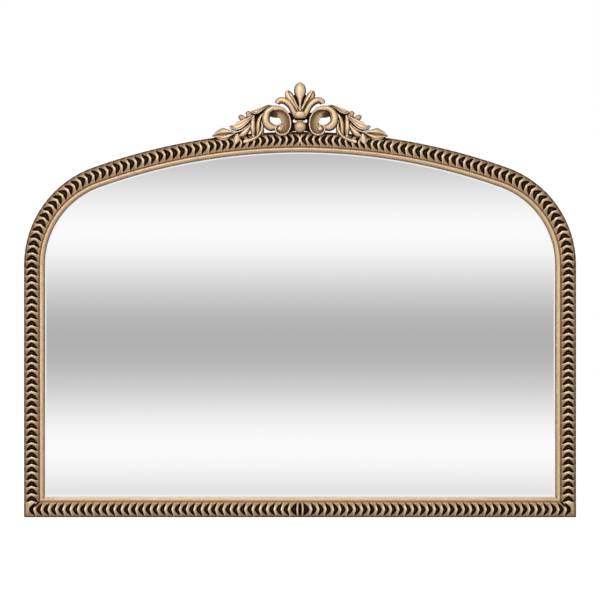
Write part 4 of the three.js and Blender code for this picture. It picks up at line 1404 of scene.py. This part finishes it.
def cup_shape():
    """The cup, turned about an upright axis level with the ball."""
    profile = catmull_rom(CUP, 33)
    profile[:, 0] = np.maximum(profile[:, 0], ON_AXIS)
    return lathe(profile, (0, BALL_TOP_Y + BALL_RADIUS, TOP), 2)


# Low on a carving of the crest, the darkening is full up to one height over its back and gone at
# another: washes, and painted shade between the leaves.
WASH_AND_SHADE_HEIGHTS = (8.0, 12.5)
SCROLL_WASH_AND_SHADE_HEIGHTS = (8.0, 16.5)
PALMETTE_WASH_AND_SHADE_HEIGHTS = (8.5, 12.0)
# Patches of painted shade: on the scroll's floor under the overhang of its rim, and on the neck under the cup.
SCROLL_RIM_SHADOW = (-57.0, TOP + 37.5, 13.0, 7.5, 0.60)
NECK_SHADOW = (0, TOP + 26.0, 11.0, 3.0, 1.0)
CREST_SHARP = 70.0


# ---------------------------------------------------------------- fittings

# Sizes of the bought fittings, the same as in the frame.
SCREW_HEAD_HEIGHT = 2.3
SCREW_HEAD_RADIUS = 3.6
SCREW_HEAD_RIM = 0.8
SHANK_RADIUS = 1.75
CORE_RADIUS = 1.25
THREAD_PITCH = 1.3
BUTTON_WIDTH = 10.0
BUTTON_LENGTH = 30.0
BUTTON_HOLE = 2.1
STRAP_WIDTH = 14.0
STRAP_SHEET = 1.5
STRAP_LENGTH = 46.0
BARREL_MIDDLE = 2.65
RING_WIRE = 1.5
RING_HALF_WIDTH = 13.0
RING_LEG = 4.0
RING_CORNER = 3.0
BRACE_SHEET = 2.0
BRACE_BEND = 1.3
BUMPER_RADIUS = 9.95

# A screw's cross recess: how far its arms' sides and ends slope, and how deep it is.
CROSS_ARM = (0.22, 0.48)
CROSS_END = (1.3, 1.75)
CROSS_DEPTH = 1.1
CROSS_TURN = 1.1


def body_of(node):
    """The body that carries a node."""
    bodies = frame["record"]["behaviour"]["bodies"]
    return next(body for body, nodes in bodies.items() if node in nodes)


def pivot_of(body):
    """Where a body turns, in millimetres."""
    joint = next(joint for joint in frame["joints"] if joint["child"] == body)
    return np.array(joint["pos_m"]) / MM


def middle_of(node, axis):
    """The middle of a node along one axis."""
    return sum(corner_mm(node, corner, axis) for corner in (0, 1)) / 2


def screw_mesh(node):
    """A pan-head screw with a thread and a cross recess, which stands another way in each."""
    x, z = middle_of(node, 0), middle_of(node, 2)
    tip = corner_mm(node, 0, 1)
    under = corner_mm(node, 1, 1) - SCREW_HEAD_HEIGHT
    rim = under + SCREW_HEAD_RIM
    profile = [(ON_AXIS, tip), (0.8, tip + 2.4)]
    for ridge in np.arange(tip + 2.6, under - THREAD_PITCH, THREAD_PITCH):
        profile += [(CORE_RADIUS, ridge), (SHANK_RADIUS, ridge + 0.45), (CORE_RADIUS, ridge + 0.9)]
    profile += [
        (SHANK_RADIUS, under - 0.2), (SHANK_RADIUS, under), (SCREW_HEAD_RADIUS - 0.3, under),
        (SCREW_HEAD_RADIUS, under + 0.3), (SCREW_HEAD_RADIUS, rim),
    ]
    for share in np.linspace(0.1, 1, 8):
        rise = (SCREW_HEAD_HEIGHT - SCREW_HEAD_RIM) * math.sin(share * math.pi / 2)
        profile.append((SCREW_HEAD_RADIUS - 1.9 * share, rim + rise))
    for radius in (1.5, 1.3, 1.1, 0.9, 0.7, 0.5, 0.3, ON_AXIS):
        profile.append((radius, under + SCREW_HEAD_HEIGHT))
    points, faces = lathe(profile, (x, 0.0, z), 1, 64)
    turn = sorted(frame["nodes"]).index(node) * CROSS_TURN
    out = np.hypot(points[..., 0] - x, points[..., 2] - z)
    angle = np.arctan2(points[..., 2] - z, points[..., 0] - x) + turn
    from_arm = out * np.minimum(np.abs(np.cos(angle)), np.abs(np.sin(angle)))
    recess = (1 - smooth(*CROSS_ARM, from_arm)) * (1 - smooth(*CROSS_END, out))
    points[..., 1] -= CROSS_DEPTH * recess * (points[..., 1] > under + 1.9)
    return mesh_from(node, points, faces)


def button_mesh(node):
    """A turn button: a strip with round ends and eased edges, and a hole for its screw."""
    pivot = pivot_of(body_of(node))
    solid = points_of(frame["nodes"][node].data)
    front, back = solid[:, 1].min(), solid[:, 1].max()
    way = (solid.mean(axis=0) - pivot)[[0, 2]]
    way /= np.linalg.norm(way)
    angles = np.linspace(0, 2 * math.pi, 64, endpoint=False) + 0.01
    reach = (BUTTON_LENGTH - BUTTON_WIDTH) * (np.cos(angles) > 0)
    half_width = BUTTON_WIDTH / 2
    rings = []
    for half, straight, y in (
        (BUTTON_HOLE, 0, front),
        (half_width - 0.35, 1, front),
        (half_width, 1, front + 0.3),
        (half_width, 1, back - 0.45),
        (half_width - 0.15, 1, back - 0.15),
        (half_width - 0.5, 1, back),
        (BUTTON_HOLE + 0.3, 0, back),
        (BUTTON_HOLE, 0, back - 0.3),
    ):
        along = half * np.cos(angles) + straight * reach
        across = half * np.sin(angles)
        x = pivot[0] + along * way[0] - across * way[1]
        z = pivot[2] + along * way[1] + across * way[0]
        rings.append(np.stack([x, np.full(len(x), y), z], axis=-1))
    return mesh_from(node, np.array(rings), grid_faces(len(rings), len(angles), joined=True))


def bend(centre, radius, first, last, count):
    """Points of an arc about a centre, from one angle to another in degrees."""
    angles = np.radians(np.linspace(first, last, count))
    return [(centre[0] + radius * math.cos(a), centre[1] + radius * math.sin(a)) for a in angles]


def ring_mesh(node):
    """A hanger's ring: wire bent to a bow below a straight bar."""
    pivot = pivot_of(body_of(node))
    corner = RING_HALF_WIDTH - RING_CORNER
    line = np.array([
        *bend((-corner, -RING_CORNER), RING_CORNER, 180, 90, 9),
        *bend((corner, -RING_CORNER), RING_CORNER, 90, 0, 9),
        *bend((0, -RING_LEG), RING_HALF_WIDTH, 0, -180, 49),
    ])
    along = np.roll(line, -1, axis=0) - np.roll(line, 1, axis=0)
    along /= np.linalg.norm(along, axis=1)[:, None]
    angles = np.linspace(0, 2 * math.pi, 20, endpoint=False)
    aside = RING_WIRE * np.cos(angles)
    x = pivot[0] + line[:, :1] - along[:, 1:] * aside
    z = pivot[2] + line[:, 1:] + along[:, :1] * aside
    points = np.stack(np.broadcast_arrays(x, pivot[1] + RING_WIRE * np.sin(angles), z), axis=-1)
    return mesh_from(node, points, grid_faces(len(line), len(angles), joined=True))


def bent_strip(node, line, half_widths, sheet, x=0.0):
    """A strip of sheet metal bent along a line of (y, z) points, its edges eased."""
    line = np.array(line, float)
    along = np.gradient(line, axis=0)
    along /= np.linalg.norm(along, axis=1)[:, None]
    half, ease = sheet / 2, sheet / 5
    rings = []
    for (y, z), (dy, dz), width in zip(line, along, half_widths):
        corners = []
        for side, face in ((-1, -1), (1, -1), (1, 1), (-1, 1)):
            cuts = [(width - ease, half), (width, half - ease)]
            for across, out in cuts if side * face < 0 else cuts[::-1]:
                corners.append((x + side * across, y - dz * face * out, z + dy * face * out))
        rings.append(corners)
    return mesh_from(node, np.array(rings), grid_faces(len(rings), 8))


# A strip's rounded end: distances from its tip, and its width there as a share of the full one.
END_STEPS = ((0.0, 0.55), (0.4, 0.74), (1.2, 0.88), (2.6, 0.97), (4.2, 1.0))


def strap_mesh(node):
    """A hanger's strap, rolled over at the top round the ring's bar."""
    x, y, z = pivot_of(body_of(node.replace("strap", "ring")))
    flat = y - BARREL_MIDDLE
    line = [(flat, z - STRAP_LENGTH + up) for up, _ in END_STEPS]
    line += [(flat, z - height) for height in (30, 20, 10, 4, 1)]
    line += bend((y, z), BARREL_MIDDLE, 180, -108, 37)
    widths = [share * STRAP_WIDTH / 2 for _, share in END_STEPS]
    widths += [STRAP_WIDTH / 2] * (len(line) - len(widths))
    return bent_strip(node, line, widths, STRAP_SHEET, x)


def brace_mesh(node):
    """The cranked brace: a tab down the timber's back, a shelf over its top and an upright."""
    low, high = (corner_mm(node, corner, 2) for corner in (0, 1))
    tab_y = corner_mm(node, 1, 1) - BRACE_SHEET / 2
    upright_y = corner_mm(node, 0, 1) + BRACE_SHEET / 2
    shelf_z = TOP + GAP + BRACE_SHEET / 2
    line = [
        *[(tab_y, low + up) for up, _ in END_STEPS],
        (tab_y, low + 18),
        (tab_y, shelf_z - BRACE_BEND - 1),
        *bend((tab_y - BRACE_BEND, shelf_z - BRACE_BEND), BRACE_BEND, 0, 90, 7),
        *bend((upright_y + BRACE_BEND, shelf_z + BRACE_BEND), BRACE_BEND, 270, 180, 7),
        (upright_y, shelf_z + 20),
        *[(upright_y, high - up) for up, _ in END_STEPS[::-1]],
    ]
    half = STRAP_WIDTH / 2
    ends = [share * half for _, share in END_STEPS]
    widths = ends + [half] * (len(line) - 2 * len(ends)) + ends[::-1]
    return bent_strip(node, line, widths, BRACE_SHEET)


def bumper_mesh(node):
    """A rubber bumper with a flat back, a rounded edge and a hollow for its pin."""
    foot, back = (corner_mm(node, corner, 1) for corner in (0, 1))
    profile = [
        (ON_AXIS, foot), (9.5, foot), (BUMPER_RADIUS, foot + 0.5), (BUMPER_RADIUS, foot + 4),
        (9.7, foot + 5.6), (9.1, foot + 6.9), (8.3, back - 0.4), (7.2, back), (4.4, back),
        (4.1, back - 0.2), (3.9, back - 0.8), (3.7, back - 2.6), (ON_AXIS, back - 2.6),
    ]
    return mesh_from(node, *lathe(profile, (middle_of(node, 0), 0.0, middle_of(node, 2)), 1, 64))


# What makes each fitting: by the first of these words that its node's name has.
FITTINGS = {
    "bumper": bumper_mesh,
    "screw": screw_mesh,
    "button": button_mesh,
    "hanger_ring": ring_mesh,
    "hanger_strap": strap_mesh,
    "crest_brace": brace_mesh,
}


# ---------------------------------------------------------------- plate and plain finishes

# The bright cut: a slope between these insets, down to the face inside it.
CUT_START = MOULDING_WIDTH - 0.5
CUT_END = MOULDING_WIDTH + 1.8
CUT_DEPTH = 0.45


def plate_mesh():
    """The plate, with a fine bright cut just inside the sight edge."""
    runs = timber_runs()
    edge = corner_mm("mirror_plate", 0, 0) + HALF_WIDTH
    front, back = (corner_mm("mirror_plate", corner, 1) for corner in (0, 1))
    foot = corner_mm("mirror_plate", 0, 2)
    loop = np.vstack([runs["bottom"], runs["arch"][::-1]])
    steps = ((edge, back), (edge, front), (CUT_START, front), (CUT_END, front + CUT_DEPTH))
    rings = [inset_points(loop, np.full(len(loop), inset), y) for inset, y in steps]
    for ring in rings[:2]:
        ring[:, 2] = np.maximum(ring[:, 2], foot)
    points = np.stack(rings)
    return mesh_from("mirror_plate", points, grid_faces(*points.shape[:2]))


def finish_node(name, material):
    """Gives a CAD node its finish."""
    for slot in frame["nodes"][name].material_slots:
        slot.material = material


def silvered_glass():
    nodes = Finish("silvered glass")
    nodes.set("Base Color", (0.965, 0.968, 0.968, 1))
    nodes.set("Metallic", 1.0)
    haze = nodes.noise(180.0, 2.0)
    nodes.set("Roughness", nodes.ranged(haze, 0.3, 0.7, 0.0, 0.006))
    return nodes.material


def hardboard():
    nodes = Finish("hardboard")
    fibres = nodes.noise(6.0, 6.0, 0.7)
    specks = nodes.noise(0.8, 2.0)
    colour = nodes.mix(nodes.ranged(fibres, 0.35, 0.7), srgb(120, 86, 56), srgb(152, 114, 78))
    nodes.set("Base Color", nodes.mix(nodes.ranged(specks, 0.6, 0.75), colour, srgb(96, 66, 42)))
    nodes.set("Roughness", 0.82)
    nodes.set("Normal", nodes.bump(specks, 0.1))
    return nodes.material


def zinc_steel():
    nodes = Finish("zinc plated steel")
    nodes.set("Metallic", 0.92)
    bloom = nodes.noise(5.0, 5.0, 0.65)
    colour = nodes.mix(nodes.ranged(bloom, 0.35, 0.7), srgb(196, 198, 200), srgb(166, 170, 176))
    nodes.set("Base Color", colour)
    nodes.set("Roughness", nodes.ranged(bloom, 0.3, 0.7, 0.26, 0.42))
    return nodes.material


def rubber():
    nodes = Finish("black rubber")
    specks = nodes.noise(0.9, 3.0)
    colour = nodes.mix(nodes.ranged(specks, 0.4, 0.7), srgb(26, 26, 27), srgb(44, 44, 46))
    nodes.set("Base Color", colour)
    nodes.set("Roughness", nodes.ranged(specks, 0.3, 0.7, 0.7, 0.9))
    nodes.set("Normal", nodes.bump(specks, 0.08, 0.6))
    return nodes.material


def beech_wood():
    nodes = Finish("beech")
    grain = nodes.noise(1.2, 4.0, 0.6, nodes.stretched((1, 1, 0.08)))
    colour = nodes.mix(nodes.ranged(grain, 0.35, 0.7), srgb(206, 172, 122), srgb(176, 138, 92))
    nodes.set("Base Color", colour)
    nodes.set("Roughness", 0.62)
    return nodes.material


# ---------------------------------------------------------------- stage

# Lamps: where each stands and its size, in metres, all aimed at the mirror's middle. The left
# side's lamp is the stronger one.
AIM = (0, 0, 0.45)
KEY_PLACE = (-0.5, -3.3, 2.3)
KEY_SIZE = (2.8, 1.6)
FILL_PLACE = (2.4, -2.2, 0.9)
FILL_SIZE = (1.2, 1.6)
FILL_SHARES = {-1: 1.2, 1: 0.8}
CAMERA_X = -0.0001
SENSOR_WIDTH = 36.0


def add_lamp(name, place, size, power):
    """A broad lamp, aimed at the mirror."""
    lamp = bpy.data.lights.new(name, "AREA")
    lamp.shape = "RECTANGLE"
    lamp.size, lamp.size_y = size
    lamp.energy = power
    holder = bpy.data.objects.new(name, lamp)
    bpy.context.scene.collection.objects.link(holder)
    holder.location = place
    aim = Vector(AIM) - Vector(place)
    holder.rotation_euler = aim.to_track_quat("-Z", "Y").to_euler()


# The floor is just below the mirror's foot, and glows a little to the eye to look white.
FLOOR_REACH = 9.0
FLOOR_Z = -0.0004
FLOOR_GLOW = 0.62


def add_floor():
    """A pale floor that shows white with the mirror's shadow on it."""
    corners = [
        (x * FLOOR_REACH, y * FLOOR_REACH, 0) for x, y in ((-1, -1), (1, -1), (1, 1), (-1, 1))
    ]
    mesh = bpy.data.meshes.new("floor")
    mesh.from_pydata(corners, [], [(0, 1, 2, 3)])
    floor = bpy.data.objects.new("floor", mesh)
    bpy.context.scene.collection.objects.link(floor)
    floor.location.z = FLOOR_Z
    nodes = Finish("pale floor")
    nodes.set("Base Color", (0.8, 0.8, 0.8, 1))
    nodes.set("Roughness", 0.9)
    glow = nodes.add("ShaderNodeEmission")
    seen = nodes.math("MULTIPLY", nodes.seen(), FLOOR_GLOW)
    nodes.link(seen, glow.inputs["Strength"])
    both = nodes.add("ShaderNodeAddShader")
    nodes.link(nodes.shader.outputs[0], both.inputs[0])
    nodes.link(glow.outputs[0], both.inputs[1])
    nodes.link(both.outputs[0], nodes.output.inputs[0])
    mesh.materials.append(nodes.material)
    floor.visible_glossy = False


# The room that the glass reflects: grey bands, level with the horizon, by the slope of a ray.
BAND_MIDDLE = 216 / 255
BAND_SWING = 37 / 255
BAND_PERIOD_SLOPE = 0.0946
BAND_PEAK_SLOPE = 0.0302
BAND_REACH = 0.16
BAND_LOW_SLOPE = -0.0822
BAND_HIGH_SLOPE = 0.066
PLAIN_WHITE = 0.95
LEAST_LEVEL = 0.02


def room(scene, studio):
    """A pale room: white to the eye, softly banded in reflections."""
    world = bpy.data.worlds.new("room")
    scene.world = world
    nodes = Nodes(world)
    calc = nodes.math
    way = nodes.add("ShaderNodeSeparateXYZ")
    nodes.link(nodes.add("ShaderNodeTexCoord").outputs["Generated"], way.inputs[0])
    x, y, z = way.outputs
    level = calc("SQRT", calc("ADD", calc("MULTIPLY", x, x), calc("MULTIPLY", y, y)))
    slope = calc("DIVIDE", z, calc("MAXIMUM", level, LEAST_LEVEL))
    slope = calc("MINIMUM", calc("MAXIMUM", slope, BAND_LOW_SLOPE), BAND_HIGH_SLOPE)
    angle = calc("SUBTRACT", slope, BAND_PEAK_SLOPE)
    angle = calc("MULTIPLY", angle, 2 * math.pi / BAND_PERIOD_SLOPE)
    banded = calc("ADD", calc("MULTIPLY", calc("COSINE", angle), BAND_SWING), BAND_MIDDLE)
    # Beyond what the flat plate shows, the room is plain white.
    straight = calc("MAXIMUM", calc("ABSOLUTE", y), LEAST_LEVEL)
    aside = calc("DIVIDE", calc("ABSOLUTE", x), straight)
    upward = calc("DIVIDE", calc("ABSOLUTE", z), straight)
    outside = calc("GREATER_THAN", calc("MAXIMUM", aside, upward), BAND_REACH)
    shown = calc("MAXIMUM", banded, calc("MULTIPLY", outside, PLAIN_WHITE))
    # The bands are display values, and light is linear.
    banded = calc("POWER", calc("DIVIDE", calc("ADD", shown, 0.055), 1.055), 2.4)
    seen = nodes.seen()
    glossy = nodes.add("ShaderNodeLightPath").outputs["Is Glossy Ray"]
    unseen = calc("SUBTRACT", 1.0, calc("MAXIMUM", seen, glossy))
    plain = calc("MULTIPLY", unseen, studio.room_light)
    total = calc("ADD", calc("ADD", seen, calc("MULTIPLY", glossy, banded)), plain)
    background = nodes.add("ShaderNodeBackground")
    background.inputs["Color"].default_value = (1, 1, 1, 1)
    nodes.link(total, background.inputs["Strength"])
    nodes.link(background.outputs[0], nodes.add("ShaderNodeOutputWorld").inputs[0])


# ---------------------------------------------------------------- operators

BEAD_RUB = 0.12

# How the grain of the timber is stretched: along the rails and up the stiles.
ALONG_X = (0.06, 1, 1)
ALONG_Z = (1, 1, 0.06)


class MIRROR_OT_stage(bpy.types.Operator):
    """Set up the pale floor, the lamps, the room and the camera"""

    bl_idname = "mirror.stage"
    bl_label = "Stage"

    def execute(self, context):
        studio = context.scene.mirror_studio
        add_floor()
        room(context.scene, studio)
        add_lamp("key_lamp", KEY_PLACE, KEY_SIZE, studio.key_power)
        for side, share in FILL_SHARES.items():
            place = (side * FILL_PLACE[0], *FILL_PLACE[1:])
            add_lamp(f"fill_lamp_{side}", place, FILL_SIZE, studio.fill_power * share)
        data = bpy.data.cameras.new("camera")
        camera = bpy.data.objects.new("camera", data)
        context.scene.collection.objects.link(camera)
        face_y = HUSK_SHOULDER_Y * MM
        camera.location = (CAMERA_X, face_y - studio.camera_distance, studio.camera_height)
        camera.rotation_euler = (math.pi / 2, 0, 0)
        data.sensor_width = SENSOR_WIDTH
        data.lens = data.sensor_width * studio.camera_distance / studio.field_width
        data.clip_end = 50.0
        context.scene.camera = camera
        context.scene.view_settings.view_transform = "Standard"
        return {"FINISHED"}


class MIRROR_OT_mouldings(bpy.types.Operator):
    """Run the timber lengths and the sight bead round the glass"""

    bl_idname = "mirror.mouldings"
    bl_label = "Timber and sight bead"

    def execute(self, context):
        gilt = context.scene.mirror_gilt
        across = gilding(gilt, "gilding of the timber", 1.0, ALONG_X)
        upright = gilding(gilt, "gilding of the stiles", 1.0, ALONG_Z)
        bead_gilt = gilding(gilt, "gilding of the bead", 0.6)
        runs = timber_runs()
        for name, run in (
            ("bottom_rail", runs["bottom"]),
            ("stile_left", runs["stile"]),
            ("stile_right", other_side(runs["stile"])),
            ("haunch_left", runs["haunch"]),
            ("haunch_right", other_side(runs["haunch"])),
            ("crown_rail", runs["crown"]),
        ):
            low = name == "bottom_rail"
            sight = BOTTOM_SIGHT_INSET if low else SIGHT_INSET
            section = timber_section(sight)
            wash = np.array([timber_wash_and_shade(inset, y, sight) for inset, y in section])
            rub = np.zeros(len(section))
            # The bottom rail is painted lighter, and its lip, which faces up to the light, gets a painted
            # highlight.
            if low:
                lip = np.array([inset >= LIP_INSET and y < 0 for inset, y in section])
                wash = np.where(lip, BOTTOM_LIP_LIT_WASH, BOTTOM_LIT_SHARE * wash)
                rub = BOTTOM_LIP_SHEEN * lip
            mesh = sweep(name, run, section, {"wash": wash, "rub": rub})
            shade(mesh, 30.0)
            timber = upright if "stile" in name else across
            add_piece(f"timber_{name}", mesh, timber, [name])
        bead = bead_section()
        top = np.array([y < BEAD_FOOT_Y - 2 for _, y in bead])
        # Per run, the darkening at the bead's foot and over its top: washes in the crease by the seat, painted
        # lighter at the bottom's foot, which is lit from above, and a little lighter or darker from run to run for
        # the light.
        for name, run, foot, film in (
            ("sight_bead_bottom", runs["bottom"], 0.18, 0.22),
            ("sight_bead_left", runs["stile"], 0.50, 0.13),
            ("sight_bead_right", other_side(runs["stile"]), 0.50, 0.15),
            ("sight_bead_arch", runs["arch"], 0.50, 0.18),
        ):
            wash = np.where(top, film, foot)
            mesh = sweep(name, run, bead, {"wash": wash, "rub": BEAD_RUB * top})
            shade(mesh)
            add_piece(f"gilt_{name}", mesh, bead_gilt, [name])
        return {"FINISHED"}


class MIRROR_OT_husk_band(bpy.types.Operator):
    """Carve the husk band's six strips over the timber"""

    bl_idname = "mirror.husk_band"
    bl_label = "Husk band"

    def execute(self, context):
        material = gilding(context.scene.mirror_gilt, "gilding of the husks")
        for name, strip in husk_strips(context.scene.mirror_husks).items():
            add_pair(name, husk_strip(name, strip), material)
        return {"FINISHED"}


class MIRROR_OT_crest(bpy.types.Operator):
    """Carve the palmette, the ball, the scrolls and the leaf sprays"""

    bl_idname = "mirror.crest"
    bl_label = "Crest"

    def execute(self, context):
        material = gilding(context.scene.mirror_gilt, "gilding of the crest", 0.45)
        for name, leaves, others, heights, shade_patches, rims in (
            ("crest_scroll", SCROLL + SCROLL_GROUND, eye_shapes(), SCROLL_WASH_AND_SHADE_HEIGHTS,
             [SCROLL_RIM_SHADOW], [scroll_rim()]),
            ("crest_acanthus", ACANTHUS, [], WASH_AND_SHADE_HEIGHTS, [], []),
            ("crest_laurel", LAUREL, [], WASH_AND_SHADE_HEIGHTS, [], []),
            ("crest_palmette", PALMETTE, [cup_shape(), *bead_shapes()], PALMETTE_WASH_AND_SHADE_HEIGHTS,
             [NECK_SHADOW], []),
        ):
            mesh = fused(name, [leaf.mesh() for leaf in leaves] + others)
            mark_relief(mesh, CREST_BACK_Y, *heights, shade_patches, rims)
            shade(mesh, CREST_SHARP)
            if leaves is PALMETTE:
                add_piece(f"gilt_{name}", mesh, material, [name])
            else:
                add_pair(name, mesh, material)
        points, faces = ball_shape(0, TOP + BALL_HEIGHT, BALL_TOP_Y + BALL_RADIUS, BALL_RADIUS)
        # Painted shade round the ball's edge, where it turns from the front, over thin washes.
        outward = np.sin(np.linspace(0, math.pi, len(points)))[:, None]
        wash = np.broadcast_to(0.16 + 0.6 * smooth(0.80, 1.0, outward), points.shape[:2])
        mesh = mesh_from("crest_ball", points, faces, {"wash": wash, "rub": 0 * wash})
        shade(mesh, 60.0)
        add_piece("gilt_crest_ball", mesh, material, ["crest_ball"])
        return {"FINISHED"}


class MIRROR_OT_glass(bpy.types.Operator):
    """Silver the glass and finish the board behind it"""

    bl_idname = "mirror.glass"
    bl_label = "Glass and board"

    def execute(self, context):
        glass = silvered_glass()
        nodes = ["mirror_plate"]
        add_piece("silvered_mirror_plate", plate_mesh(), glass, nodes)
        finish_node("back_board", hardboard())
        return {"FINISHED"}


class MIRROR_OT_fittings(bpy.types.Operator):
    """Make the hangers, turn buttons, brace, screws and bumpers, and finish the hidden pieces"""

    bl_idname = "mirror.fittings"
    bl_label = "Fittings"

    def execute(self, context):
        steel = zinc_steel()
        black = rubber()
        beech = beech_wood()
        for node in sorted(frame["nodes"]):
            kind = next((kind for kind in FITTINGS if kind in node), None)
            if "dowel" in node:
                finish_node(node, beech)
            elif "glass_rest" in node:
                finish_node(node, black)
            elif kind:
                mesh = FITTINGS[kind](node)
                shade(mesh, 34.0)
                if kind == "bumper":
                    add_piece(f"rubber_{node}", mesh, black, [node], body_of(node))
                else:
                    add_piece(f"steel_{node}", mesh, steel, [node], body_of(node))
        return {"FINISHED"}


# ---------------------------------------------------------------- panel and registration

OPERATORS = (
    MIRROR_OT_stage,
    MIRROR_OT_mouldings,
    MIRROR_OT_husk_band,
    MIRROR_OT_crest,
    MIRROR_OT_glass,
    MIRROR_OT_fittings,
)


class MIRROR_PT_panel(bpy.types.Panel):
    """Shows the mirror's settings and the buttons for its steps in the sidebar"""

    bl_idname = "MIRROR_PT_panel"
    bl_label = "Overmantel mirror"
    bl_space_type = "VIEW_3D"
    bl_region_type = "UI"
    bl_category = "Mirror"

    def draw(self, context):
        scene = context.scene
        for settings in (scene.mirror_gilt, scene.mirror_husks, scene.mirror_studio):
            box = self.layout.box()
            for name in settings.bl_rna.properties.keys():
                if name not in ("rna_type", "name"):
                    box.prop(settings, name)
        for operator in OPERATORS:
            self.layout.operator(operator.bl_idname)


SETTINGS = {"mirror_gilt": GiltColours, "mirror_husks": HuskSizes, "mirror_studio": StudioSizes}
CLASSES = (*SETTINGS.values(), *OPERATORS, MIRROR_PT_panel)


def register():
    for item in CLASSES:
        bpy.utils.register_class(item)
    for name, group in SETTINGS.items():
        setattr(bpy.types.Scene, name, PointerProperty(type=group))


def unregister():
    for name in SETTINGS:
        delattr(bpy.types.Scene, name)
    for item in reversed(CLASSES):
        bpy.utils.unregister_class(item)


def main():
    register()
    for operator in OPERATORS:
        group, name = operator.bl_idname.split(".")
        getattr(getattr(bpy.ops, group), name)()


if __name__ == "__main__":
    main()
